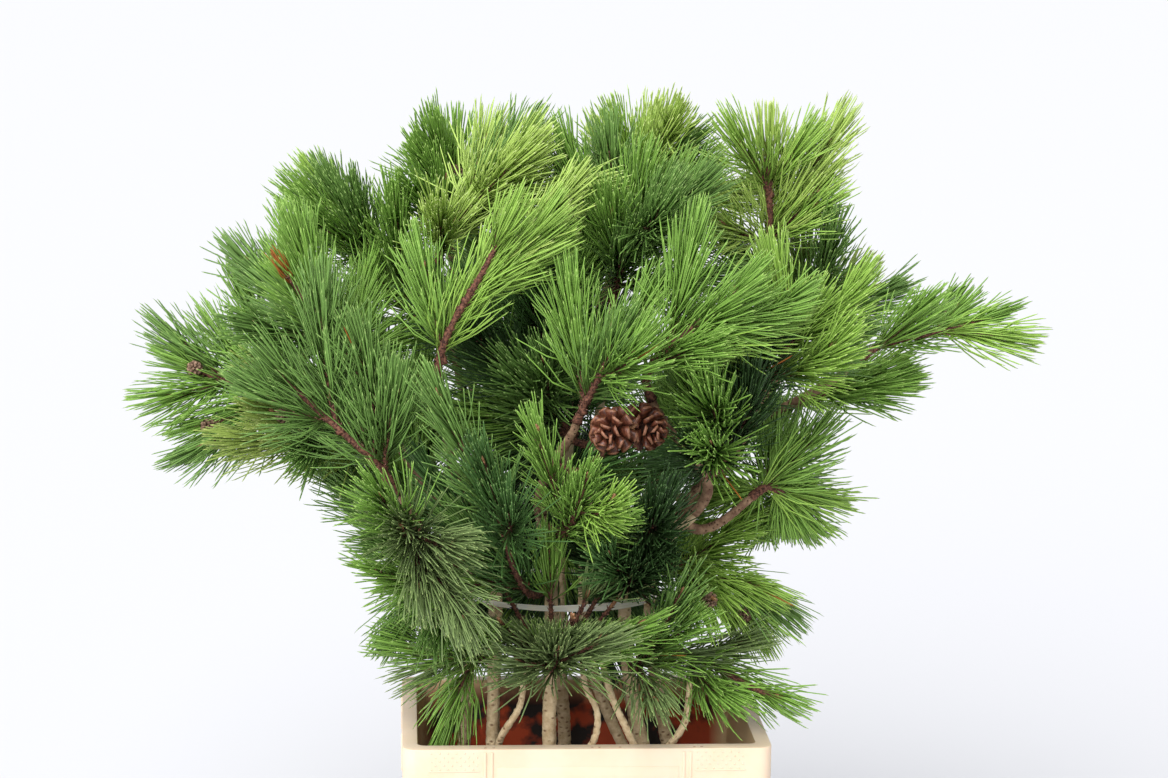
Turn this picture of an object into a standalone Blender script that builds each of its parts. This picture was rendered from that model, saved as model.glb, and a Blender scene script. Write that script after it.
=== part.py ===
# A bunch of cut mugo pine branches, held by a flat band and standing in a cream plastic crate.
# Metres, +X right, +Y back, +Z up. z = 0 is the flat underside of the crate, below its middle.
import math
import random

import bmesh
import bpy
import numpy as np
from mathutils import Matrix, Vector

GAP = 0.0003                      # clearance between neighbouring solids
UP = Vector((0, 0, 1))
STRAIGHT_START = 0.004            # a limb leaves its carrier straight for this far
GOLDEN_ANGLE = math.radians(137.5)    # turn from one side twig to the next

# Crate
CRATE_HEIGHT = 0.300
RIM_SIZE = (0.358, 0.265)         # outside of the rim
RIM_WIDTH = 0.012                 # flange and skirt, measured outwards from the wall
RIM_SKIRT = 0.036                 # at least 0.027 shows; the lower edge is out of the picture
CRATE_TAPER = 0.94                # floor size over the size under the rim
CRATE_CORNER = 0.010
WALL = 0.003
RIB_PLACES = (-0.096, 0.096)      # upright ribs on the long sides
RIB_SIZE = (0.009, 0.0016)        # width, height above the wall

# Band
BAND_CENTER = (-0.022, -0.010)
BAND_RADII = (0.096, 0.078)       # inside of the loop
BAND_Z = 0.428
BAND_WIDTH = (0.0045, 0.0085)     # narrowest at the left, widest at the right
BAND_THICKNESS = 0.0012
BAND_HOLD = 0.006                 # the stems stand upright this far above and below its middle
BAND_SIDES = 48
BAND_ROOM = 0.006                 # twigs and sprays stay this far from its middle line
AT_BAND = 0.62                    # share of a stem's taper that lies below the band

# Foliage
TWIG_RADIUS = (0.0038, 0.0026)    # at the root and below the bud
SIDE_TWIG_RADIUS = (0.0030, 0.0022)
SPRAY_LENGTH = 0.056              # from the twig to the tip of a spray of needles
SPRAY_LEAN = (52, 30)             # degrees off the twig, at the oldest and the youngest spray
BUD_LENGTH = 0.013
BARE_STEPS = 2                    # steps of a twig before its first spray
BARE_PART = (0.30, 0.24)          # share of a main and a side twig without needles
SPRAY_RINGS = (5, 4)              # rings of four sprays on a main and a side twig
SIDE_SPREAD = (58, 38, 16)        # degrees off the main twig: leaving it, over all, at the tip
SIDE_FORKS = (0.12, 0.62)         # shares of the main twig between which side twigs leave it
SIDE_REACH = (0.55, 0.72)         # length of a side twig over the main twig's
SHORTEST_SIDE = 0.085
LIFT = {"stem": 0.20, "bough": 0.35, "twig": 0.15, "side": 0.20}    # how far ends turn upwards
SPRAY_ROOM = (0.007, 0.0006)      # half thickness of a spray at its root and at its tip
CLEARANCE = 0.0016                # between a spray and what belongs to others
SIDE_ROOM = 0.003                 # thickness and clearance of a side twig while it is placed
CONE_SIZE = (0.021, 0.024)        # half width, half length
CONE_SCALE = 0.0055               # how far its scales stand out
CONES = ((-0.015, -0.004), (0.016, 0.014))    # x and y off the end of their twig

# Stems: foot on the crate's floor, place at the band (an angle on its loop, or x and y),
# fork, radius at the foot and at the fork
STEMS = {
    "stem_front_left": ((-0.098, -0.080), -138, (-0.120, -0.108, 0.535), (0.0066, 0.0050)),
    "stem_front": ((-0.038, -0.098), -98, (-0.048, -0.122, 0.535), (0.0082, 0.0058)),
    "stem_middle": ((0.140, -0.048), (0.000, -0.024), (0.025, -0.030, 0.720), (0.0066, 0.0040)),
    "stem_front_right": ((0.116, -0.092), -48, (0.104, -0.100, 0.530), (0.0078, 0.0056)),
    "stem_right": ((0.136, -0.010), -5, (0.145, -0.015, 0.570), (0.0075, 0.0052)),
    "stem_left": ((-0.130, 0.000), 180, (-0.180, 0.000, 0.560), (0.0075, 0.0052)),
    "stem_back_left": ((-0.090, 0.080), 133, (-0.105, 0.085, 0.600), (0.0070, 0.0050)),
    "stem_back": ((0.000, 0.094), 88, (-0.005, 0.120, 0.590), (0.0075, 0.0052)),
    "stem_back_right": ((0.095, 0.082), 42, (0.125, 0.085, 0.600), (0.0072, 0.0050)),
}

# Boughs: carrier, share of its length, end, radius at the start and at the end
BOUGHS = {
    "bough_far_left": ("stem_left", 1.0, (-0.268, 0.000, 0.608), (0.0050, 0.0038)),
    "bough_left_shoulder": ("stem_left", 0.88, (-0.222, -0.075, 0.655), (0.0046, 0.0038)),
    "bough_left_front": ("stem_front_left", 0.86, (-0.185, -0.155, 0.560), (0.0046, 0.0038)),
    "bough_front_plume": ("stem_front_left", 1.0, (-0.145, -0.158, 0.655), (0.0050, 0.0040)),
    "bough_center_front": ("stem_front", 1.0, (-0.015, -0.165, 0.630), (0.0054, 0.0038)),
    "bough_top_left": ("stem_back_left", 1.0, (-0.130, 0.115, 0.755), (0.0050, 0.0038)),
    "bough_left_plume": ("stem_back_left", 0.97, (-0.145, -0.010, 0.740), (0.0046, 0.0038)),
    "bough_top_center": ("stem_back", 1.0, (0.040, 0.115, 0.750), (0.0052, 0.0038)),
    "bough_right_plume": ("stem_front_right", 1.0, (0.052, -0.158, 0.650), (0.0054, 0.0040)),
    "bough_right_mid": ("stem_front_right", 0.97, (0.160, -0.105, 0.545), (0.0050, 0.0038)),
    "bough_right_front": ("stem_right", 0.90, (0.165, -0.092, 0.640), (0.0050, 0.0038)),
    "bough_right_arm": ("stem_right", 1.0, (0.262, -0.030, 0.660), (0.0052, 0.0038)),
    "bough_upper_right": ("stem_back_right", 1.0, (0.180, 0.035, 0.755), (0.0050, 0.0038)),
    "bough_right_back": ("stem_back_right", 0.86, (0.225, 0.120, 0.650), (0.0046, 0.0038)),
}

# Foliage masses: carrier, share of its length, bud of the main twig, buds of the side twigs
# that show, number of further side twigs
MASSES = {
    "foliage_far_left": ("bough_far_left", 1.0, (-0.390, 0.020, 0.648),
                         [(-0.372, 0.000, 0.593), (-0.359, 0.050, 0.674)], 0),
    "foliage_left_low": ("bough_far_left", 0.35, (-0.299, -0.120, 0.627), [(-0.270, -0.145, 0.594)], 1),
    "foliage_left_shoulder": ("bough_left_shoulder", 1.0, (-0.287, -0.100, 0.756),
                              [(-0.328, -0.020, 0.756), (-0.310, -0.135, 0.712)], 1),
    "foliage_left_front": ("bough_left_front", 1.0, (-0.290, -0.160, 0.670),
                           [(-0.255, -0.140, 0.735), (-0.185, -0.180, 0.655)], 1),
    "foliage_left_fan": ("bough_left_front", 0.60, (-0.180, -0.225, 0.540),
                         [(-0.163, -0.210, 0.483), (-0.134, -0.240, 0.526)], 0),
    "foliage_left_rosette": ("stem_front", 0.84, (-0.105, -0.230, 0.600), [(-0.145, -0.200, 0.655)], 1),
    "foliage_front_plume": ("bough_front_plume", 1.0, (-0.090, -0.180, 0.805),
                            [(-0.160, -0.160, 0.770), (-0.050, -0.150, 0.785), (-0.030, -0.120, 0.830)], 0),
    "foliage_center_front": ("bough_center_front", 1.0, (0.015, -0.200, 0.705),
                             [(-0.025, -0.160, 0.740), (0.050, -0.150, 0.740)], 0),
    "foliage_cone_twig": ("bough_center_front", 0.55, (0.030, -0.185, 0.622), [], 0),
    "foliage_center_rosette": ("stem_front", 0.94, (-0.010, -0.240, 0.590),
                               [(-0.055, -0.200, 0.625), (0.020, -0.200, 0.540)], 0),
    "foliage_left_plume": ("bough_left_plume", 1.0, (-0.065, -0.040, 0.870),
                           [(-0.145, -0.100, 0.810), (-0.015, -0.050, 0.835)], 1),
    "foliage_top_left": ("bough_top_left", 1.0, (-0.126, 0.120, 0.857),
                         [(-0.135, 0.080, 0.825), (-0.089, 0.110, 0.845)], 0),
    "foliage_left_back": ("bough_top_left", 0.50, (-0.256, 0.100, 0.812),
                          [(-0.261, 0.050, 0.786), (-0.231, 0.140, 0.784)], 0),
    "foliage_center_dark": ("stem_middle", 0.78, (-0.040, -0.030, 0.745), [(-0.070, -0.100, 0.665)], 2),
    "foliage_center_upper": ("stem_middle", 1.0, (0.065, -0.040, 0.820),
                             [(0.020, 0.000, 0.830), (0.030, -0.080, 0.775)], 2),
    "foliage_top_center": ("bough_top_center", 1.0, (0.072, 0.100, 0.872),
                           [(0.029, 0.120, 0.855), (0.113, 0.100, 0.831), (0.057, 0.060, 0.846)], 0),
    "foliage_right_plume": ("bough_right_plume", 1.0, (0.125, -0.200, 0.755),
                            [(0.085, -0.170, 0.790), (0.160, -0.170, 0.715), (0.090, -0.225, 0.705)], 0),
    "foliage_right_inner": ("bough_right_plume", 0.30, (0.115, -0.155, 0.635), [(0.090, -0.180, 0.605)], 1),
    "foliage_right_mid_upper": ("bough_right_front", 1.0, (0.200, -0.120, 0.725),
                                [(0.175, -0.100, 0.760), (0.240, -0.100, 0.690)], 1),
    "foliage_right_arm": ("bough_right_arm", 1.0, (0.395, -0.020, 0.705),
                          [(0.316, -0.050, 0.708), (0.363, 0.030, 0.709)], 0),
    "foliage_right_arm_low": ("bough_right_arm", 0.50, (0.302, 0.030, 0.646), [(0.257, 0.000, 0.634)], 0),
    "foliage_right_mid": ("bough_right_mid", 1.0, (0.198, -0.080, 0.540),
                          [(0.200, -0.040, 0.590), (0.200, -0.050, 0.513)], 0),
    "foliage_upper_right": ("bough_upper_right", 1.0, (0.180, 0.020, 0.865),
                            [(0.230, 0.040, 0.820), (0.245, 0.060, 0.870), (0.153, 0.000, 0.868)], 0),
    "foliage_right_back": ("bough_right_back", 1.0, (0.280, 0.125, 0.714),
                           [(0.226, 0.100, 0.744), (0.254, 0.180, 0.693)], 0),
    "foliage_back_center": ("stem_back", 0.92, (-0.040, 0.240, 0.700), [], 3),
    "foliage_back_left": ("stem_back_left", 0.80, (-0.245, 0.150, 0.630),
                          [(-0.211, 0.160, 0.531), (-0.284, 0.120, 0.576), (-0.192, 0.200, 0.582)], 0),
    "foliage_back_right": ("stem_back_right", 0.80, (0.150, 0.225, 0.620), [], 3),
    "foliage_low_left": ("stem_left", 0.80, (-0.180, -0.030, 0.503),
                         [(-0.162, -0.080, 0.438), (-0.176, 0.000, 0.547)], 0),
    "foliage_low_left_front": ("stem_front_left", 0.60, (-0.169, -0.070, 0.384),
                               [(-0.105, -0.140, 0.411), (-0.138, -0.070, 0.309)], 0),
    "foliage_waist_front": ("stem_front", 0.60, (-0.031, -0.175, 0.410),
                            [(-0.068, -0.170, 0.397), (0.007, -0.180, 0.421)], 1),
    "foliage_low_right": ("stem_front_right", 0.60, (0.061, -0.160, 0.358), [(0.084, -0.160, 0.461)], 0),
    "foliage_right_hanging": ("stem_right", 0.80, (0.169, -0.060, 0.444),
                              [(0.118, -0.120, 0.446), (0.159, -0.050, 0.411)], 0),
    "foliage_crate_right": ("stem_right", 0.56, (0.185, -0.090, 0.340), [], 1),
    "foliage_back_low": ("stem_back", 0.80, (-0.010, 0.200, 0.475), [], 3),
    "foliage_center_low": ("stem_front_right", 0.80, (0.040, -0.175, 0.490), [(0.065, -0.170, 0.550)], 0),
}
CONE_TWIG = "foliage_cone_twig"


def clear_scene():
    for old in list(bpy.data.objects):
        bpy.data.objects.remove(old, do_unlink=True)


def collection(name):
    group = bpy.data.collections.new(name)
    bpy.context.scene.collection.children.link(group)
    return group


def material(name, color, roughness):
    surface = bpy.data.materials.new(name)
    surface.use_nodes = True
    shader = surface.node_tree.nodes["Principled BSDF"]
    shader.inputs["Base Color"].default_value = (*color, 1.0)
    shader.inputs["Roughness"].default_value = roughness
    shader.inputs["Metallic"].default_value = 0.0
    return surface


def mesh_object(name, bm, surface, group):
    mesh = bpy.data.meshes.new(name)
    bm.to_mesh(mesh)
    bm.free()
    mesh.materials.append(surface)
    obj = bpy.data.objects.new(name, mesh)
    group.objects.link(obj)
    return obj


def smooth_path(start, heading, end, arrival, shares):
    """Points on the cubic from start to end that leaves along heading and arrives along arrival."""
    reach = (end - start).length
    a, b = heading.normalized() * reach, arrival.normalized() * reach
    points = []
    for s in shares:
        points.append(start * (2 * s**3 - 3 * s**2 + 1) + a * (s**3 - 2 * s**2 + s)
                      + end * (3 * s**2 - 2 * s**3) + b * (s**3 - s**2))
    return points


def even(count):
    return [i / count for i in range(count + 1)]


def blended(first, last, share):
    return first + (last - first) * share


def tube_curve(name, points, radii, detail, surface, group, tilt=0.0):
    """A bevelled curve through the points; it has 4 + 2 * detail sides and filled ends."""
    curve = bpy.data.curves.new(name, "CURVE")
    curve.dimensions = "3D"
    curve.bevel_depth = 1.0
    curve.bevel_resolution = detail
    curve.use_fill_caps = True
    spline = curve.splines.new("POLY")
    spline.points.add(len(points) - 1)
    for i, (point, radius) in enumerate(zip(points, radii)):
        spline.points[i].co = (*point, 1.0)
        spline.points[i].radius = radius
        spline.points[i].tilt = tilt * i
    curve.materials.append(surface)
    obj = bpy.data.objects.new(name, curve)
    group.objects.link(obj)
    return obj


def welded_mesh(curve_object):
    """The curve's tube as a bmesh with its caps welded on; the curve is removed."""
    bpy.context.view_layer.update()
    evaluated = curve_object.evaluated_get(bpy.context.evaluated_depsgraph_get())
    mesh = bpy.data.meshes.new_from_object(evaluated)
    bm = bmesh.new()
    bm.from_mesh(mesh)
    bmesh.ops.remove_doubles(bm, verts=bm.verts, dist=0.00001)
    bpy.data.meshes.remove(mesh)
    bpy.data.objects.remove(curve_object, do_unlink=True)
    return bm


class Space:
    """Tapering rods that fill the space: limbs, twigs and sprays, each with its owner."""

    def __init__(self):
        self.rods = []
        self.owners = []

    def add(self, start, end, thick, owner):
        self.rods.append((*start, *end, *thick))
        self.owners.append(owner)

    def add_path(self, points, radii, owner):
        for i in range(len(points) - 1):
            self.add(points[i], points[i + 1], (radii[i], radii[i + 1]), owner)

    def is_free(self, start, end, thick, skipped, room=CLEARANCE):
        """True where the rod from start to end stays clear of all rods of other owners."""
        rods = np.array(self.rods)
        kept = np.array([owner not in skipped for owner in self.owners])
        rods = rods[kept]
        if not len(rods):
            return True
        p, d = np.array(start), np.array(end) - np.array(start)
        others, along = rods[:, 0:3], rods[:, 3:6] - rods[:, 0:3]
        offset = p - others
        a, e = d @ d, np.sum(along * along, axis=1)
        b, c, f = along @ d, offset @ d, np.sum(along * offset, axis=1)
        spread = np.maximum(a * e - b * b, 1e-12)
        s = np.clip((b * f - c * e) / spread, 0, 1)
        t = np.clip((b * s + f) / e, 0, 1)
        s = np.clip((b * t - c) / a, 0, 1)
        apart = np.linalg.norm(offset + s[:, None] * d - t[:, None] * along, axis=1)
        own = thick[0] + (thick[1] - thick[0]) * s
        their = rods[:, 6] + (rods[:, 7] - rods[:, 6]) * t
        return bool(np.all(apart > own + their + room))


def meets_crate(start, end):
    """True where a rod comes near the crate's wall, rim or floor."""
    half_x, half_y = RIM_SIZE[0] / 2, RIM_SIZE[1] / 2
    wall = RIM_WIDTH + WALL + 0.004 + (1 - CRATE_TAPER) * half_x
    for share in even(8):
        x, y, z = start.lerp(end, share)
        over = abs(x) < half_x + 0.003 and abs(y) < half_y + 0.003
        inside = abs(x) < half_x - wall and abs(y) < half_y - wall
        if z < 0.012 or (z < CRATE_HEIGHT + 0.004 and over and not inside):
            return True
    return False


def make_crate(surface, group, cutters):
    """A tapered tub with a flange and a deep skirt round its rim."""
    outer_x, outer_y = RIM_SIZE[0] - 2 * WALL, RIM_SIZE[1] - 2 * WALL
    under_x, under_y = RIM_SIZE[0] - 2 * RIM_WIDTH, RIM_SIZE[1] - 2 * RIM_WIDTH
    top = CRATE_HEIGHT - WALL
    bm = bmesh.new()
    bmesh.ops.create_cube(bm, size=1.0)
    bmesh.ops.scale(bm, vec=(under_x, under_y, top), verts=bm.verts)
    bmesh.ops.translate(bm, vec=(0, 0, top / 2), verts=bm.verts)
    floor = [v for v in bm.verts if v.co.z < top / 2]
    bmesh.ops.scale(bm, vec=(CRATE_TAPER, CRATE_TAPER, 1), verts=floor)
    upright = [e for e in bm.edges if abs(e.verts[0].co.z - e.verts[1].co.z) > top / 2]
    bmesh.ops.bevel(bm, geom=upright, offset=CRATE_CORNER, segments=4, profile=0.5,
                    affect="EDGES", material=-1)
    lid = [f for f in bm.faces if f.normal.z > 0.9]
    bmesh.ops.delete(bm, geom=lid, context="FACES_ONLY")
    for grow, drop in (((outer_x / under_x, outer_y / under_y, 1), 0.0), ((1, 1, 1), RIM_SKIRT)):
        rim = [e for e in bm.edges if e.is_boundary]
        made = bmesh.ops.extrude_edge_only(bm, edges=rim)["geom"]
        ring = [v for v in made if isinstance(v, bmesh.types.BMVert)]
        bmesh.ops.scale(bm, vec=grow, verts=ring)
        bmesh.ops.translate(bm, vec=(0, 0, -drop), verts=ring)
    crate = mesh_object("crate", bm, surface, group)
    shell = crate.modifiers.new("wall", "SOLIDIFY")
    shell.thickness = WALL
    shell.offset = -1.0
    shell.use_even_offset = True

    slope = math.atan((1 - CRATE_TAPER) * under_y / 2 / top)
    for side in (-1, 1):
        for place in RIB_PLACES:
            rib = bmesh.new()
            bmesh.ops.create_cube(rib, size=1.0)
            height = top - RIM_SKIRT - 0.030
            bmesh.ops.scale(rib, vec=(RIB_SIZE[0], 2 * RIB_SIZE[1], height), verts=rib.verts)
            turn = Matrix.Rotation(-side * slope, 4, "X")
            middle = 0.012 + height / 2
            wall_y = under_y / 2 * blended(CRATE_TAPER, 1, middle / top)
            place_at = Matrix.Translation((place, side * wall_y, middle))
            bmesh.ops.transform(rib, matrix=place_at @ turn, verts=rib.verts)
            mesh_object("rib", rib, surface, cutters)
    join = crate.modifiers.new("ribs", "BOOLEAN")
    join.operation = "UNION"
    join.operand_type = "COLLECTION"
    join.collection = cutters
    join.solver = "EXACT"
    return crate


def band_point(angle, inset=0.0):
    """Point of the loop at an angle in degrees, moved inwards by inset."""
    turn = math.radians(angle)
    x, y = BAND_RADII[0] * math.cos(turn), BAND_RADII[1] * math.sin(turn)
    outwards = Vector((x / BAND_RADII[0]**2, y / BAND_RADII[1]**2, 0)).normalized()
    return Vector((BAND_CENTER[0] + x, BAND_CENTER[1] + y, 0)) - outwards * inset


def make_band(surface, group):
    bm = bmesh.new()
    bmesh.ops.create_circle(bm, segments=BAND_SIDES, radius=1.0)
    bmesh.ops.scale(bm, vec=(*BAND_RADII, 1), verts=bm.verts)
    bmesh.ops.translate(bm, vec=(*BAND_CENTER, BAND_Z), verts=bm.verts)
    made = bmesh.ops.extrude_edge_only(bm, edges=bm.edges[:])["geom"]
    upper = [v for v in made if isinstance(v, bmesh.types.BMVert)]
    for v in bm.verts:
        rightward = (1 + (v.co.x - BAND_CENTER[0]) / BAND_RADII[0]) / 2
        half = blended(*BAND_WIDTH, rightward) / 2
        v.co.z += half if v in upper else -half
    bmesh.ops.recalc_face_normals(bm, faces=bm.faces)
    side = bm.faces[:][0]
    if side.normal.dot(side.calc_center_median() - Vector((*BAND_CENTER, BAND_Z))) < 0:
        bmesh.ops.reverse_faces(bm, faces=bm.faces)
    band = mesh_object("elastic_band", bm, surface, group)
    shell = band.modifiers.new("thickness", "SOLIDIFY")
    shell.thickness = BAND_THICKNESS
    shell.offset = 1.0
    return band


def stem_path(foot, waist, fork, radii):
    """Upright at the floor and through the band, spreading above it."""
    at_band = blended(*radii, AT_BAND)
    if isinstance(waist, tuple):
        hold = Vector((*waist, BAND_Z))
    else:
        hold = band_point(waist, at_band + 2 * GAP) + UP * BAND_Z
    foot = Vector((*foot, WALL + GAP))
    fork = Vector(fork)
    below, above = hold - UP * BAND_HOLD, hold + UP * BAND_HOLD
    points = [foot] + smooth_path(foot + UP * STRAIGHT_START, UP, below, UP, even(4))
    points += smooth_path(above, UP, fork, (fork - above).normalized() + UP * LIFT["stem"], even(3))
    last = len(points) - 1
    return points, [blended(*radii, i / last) for i in range(last + 1)]


def spot_on(points, share):
    """Number of the step that holds a share of a path's length, and the share within it."""
    lengths = [(points[i + 1] - points[i]).length for i in range(len(points) - 1)]
    left = share * sum(lengths)
    for i, length in enumerate(lengths):
        if left <= length or i == len(lengths) - 1:
            return i, min(left / length, 1.0)
        left -= length


def leave(path, share, target):
    """Where a limb that heads for target starts, just clear of its carrier, and its heading."""
    points, radii = path
    if share >= 1.0:
        tangent = (points[-1] - points[-2]).normalized()
        return points[-1] + tangent * GAP, tangent
    step, _ = spot_on(points, share)
    place = (points[step] + points[step + 1]) / 2
    tangent = (points[step + 1] - points[step]).normalized()
    aside = target - place
    aside = (aside - tangent * aside.dot(tangent)).normalized()
    return place + aside * ((radii[step] + radii[step + 1]) / 2 + GAP), aside


def bough_path(carrier, share, end, radii):
    start, heading = leave(carrier, share, Vector(end))
    end = Vector(end)
    arrival = (end - start).normalized() + UP * LIFT["bough"]
    points = [start] + smooth_path(start + heading * STRAIGHT_START, heading, end, arrival, even(5))
    last = len(points) - 1
    return points, [blended(*radii, i / last) for i in range(last + 1)]


def twig_shares(side):
    """Where a twig has its rings: its bare wood, then one step for each ring of sprays."""
    bare, rings = BARE_PART[side], SPRAY_RINGS[side]
    return [0.0] + [bare + (1 - bare) * i / rings for i in range(rings + 1)]


def twig(start, heading, tip, arrival, side):
    onward = smooth_path(start + heading * STRAIGHT_START, heading, tip, arrival, twig_shares(side))
    return [start] + onward


def main_twig(carrier, share, tip):
    tip = Vector(tip)
    start, heading = leave(carrier, share, tip)
    return twig(start, heading, tip, (tip - start).normalized() + UP * LIFT["twig"], 0)


def twig_to_bud(main, tip):
    """A side twig whose bud shows: it leaves the main twig at about SIDE_SPREAD's second angle."""
    tip = Vector(tip)
    chord = main[-1] - main[0]
    along = (tip - main[0]).dot(chord.normalized())
    away = (tip - main[0] - chord.normalized() * along).length
    share = (along - away / math.tan(math.radians(SIDE_SPREAD[1]))) / chord.length
    step, part = spot_on(main, min(max(share, SIDE_FORKS[0]), SIDE_FORKS[1]))
    place = main[step].lerp(main[step + 1], part)
    tangent = (main[step + 1] - main[step]).normalized()
    straight = (tip - place).normalized()
    return twig(place, (straight + tangent * 0.3).normalized(), tip, straight + UP * LIFT["side"], 1)


def further_twigs(main, count, rng):
    """Side twigs leave the main twig one after the other, round it by the golden angle."""
    turn = rng.uniform(0, 2 * math.pi)
    length = sum((main[i + 1] - main[i]).length for i in range(len(main) - 1))
    found = []
    for i in range(count):
        share = blended(*SIDE_FORKS, 0.28 + 0.68 * i / count) + rng.uniform(-0.03, 0.03)
        step, part = spot_on(main, share)
        place = main[step].lerp(main[step + 1], part)
        tangent = (main[step + 1] - main[step]).normalized()
        across = tangent.orthogonal().normalized()
        across.rotate(Matrix.Rotation(turn + i * GOLDEN_ANGLE, 3, tangent))
        reach = max(SHORTEST_SIDE, length * rng.uniform(*SIDE_REACH))
        leaving, overall, ending = (tangent * math.cos(math.radians(angle))
                                    + across * math.sin(math.radians(angle))
                                    for angle in SIDE_SPREAD)
        found.append(twig(place, leaving, place + overall * reach, ending + UP * LIFT["side"], 1))
    return found


def twig_radii(side, count):
    first, last = (TWIG_RADIUS, SIDE_TWIG_RADIUS)[side]
    return [blended(first, last, i / (count - 1)) for i in range(count)]


def twig_mesh(path, side, owner, shoot, space, surface, group, rng):
    """A four-sided twig; its faces past the bare part are pulled out into sprays of needles."""
    radii = twig_radii(side, len(path))
    bm = welded_mesh(tube_curve(owner, path, radii, 0, surface, group, tilt=math.radians(38)))
    bm.faces.ensure_lookup_table()
    last = len(path) - 2
    for face in bm.faces[:]:
        center = face.calc_center_median()
        near = min(range(last + 1), key=lambda i: (center - (path[i] + path[i + 1]) / 2).length)
        tangent = (path[near + 1] - path[near]).normalized()
        outwards = center - path[near]
        outwards -= tangent * outwards.dot(tangent)
        if outwards.length < radii[near] * 0.3:
            if near == last and (center - path[-1]).length < 0.001:
                bmesh.ops.poke(bm, faces=[face])["verts"][0].co = path[-1] + tangent * BUD_LENGTH
            continue
        if near < BARE_STEPS:
            continue
        age = (near - BARE_STEPS) / (last - BARE_STEPS)
        lean = math.radians(blended(*SPRAY_LEAN, age) + rng.uniform(-6, 6))
        aside = outwards.normalized()
        aside.rotate(Matrix.Rotation(math.radians(rng.uniform(-10, 10)), 3, tangent))
        length = SPRAY_LENGTH * rng.uniform(0.88, 1.1)
        tip = center + (tangent * math.cos(lean) + aside * math.sin(lean)) * length
        root = center.lerp(tip, 0.06)
        own = (owner, shoot)
        if meets_crate(root, tip) or not space.is_free(root, tip, SPRAY_ROOM, {own}):
            continue
        space.add(root, tip, SPRAY_ROOM, own)
        bmesh.ops.poke(bm, faces=[face])["verts"][0].co = tip
    return mesh_object(f"{owner}_{shoot}", bm, surface, group)


def cone_places(tip):
    """Middle and axis of each cone; they lean apart and face the front."""
    places = []
    for x, y in CONES:
        axis = Vector((x * 30, -0.8, -0.1)).normalized()
        places.append((tip + Vector((x, y, 0)), axis))
    return places


def cone_mesh(place, axis, surface, group):
    """An open cone: an egg shape whose faces are pulled out into scales."""
    bm = bmesh.new()
    bmesh.ops.create_uvsphere(bm, u_segments=8, v_segments=6, radius=1.0)
    bmesh.ops.scale(bm, vec=(CONE_SIZE[0] - CONE_SCALE, CONE_SIZE[0] - CONE_SCALE, CONE_SIZE[1]),
                    verts=bm.verts)
    for face in bm.faces[:]:
        outwards = face.normal.copy()
        tip = face.calc_center_median() + (outwards + UP * 0.5).normalized() * CONE_SCALE
        bmesh.ops.poke(bm, faces=[face])["verts"][0].co = tip
    turn = axis.to_track_quat("Z", "Y").to_matrix().to_4x4()
    bmesh.ops.transform(bm, matrix=Matrix.Translation(place) @ turn, verts=bm.verts)
    return mesh_object("cone", bm, surface, group)


def join_mass(name, pieces, surface, group, loose):
    """The pieces of a mass become one closed mesh."""
    body = pieces[0]
    if len(pieces) > 1:
        loose.objects.unlink(body)
        group.objects.link(body)
        join = body.modifiers.new("join", "BOOLEAN")
        join.operation = "UNION"
        join.operand_type = "COLLECTION"
        join.collection = loose
        join.solver = "MANIFOLD"
        bpy.context.view_layer.update()
        evaluated = body.evaluated_get(bpy.context.evaluated_depsgraph_get())
        mesh = bpy.data.meshes.new_from_object(evaluated)
        body.modifiers.clear()
        body.data = mesh
        for piece in pieces[1:]:
            bpy.data.objects.remove(piece, do_unlink=True)
    else:
        loose.objects.unlink(body)
        group.objects.link(body)
    body.name = name
    body.data.name = name


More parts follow.
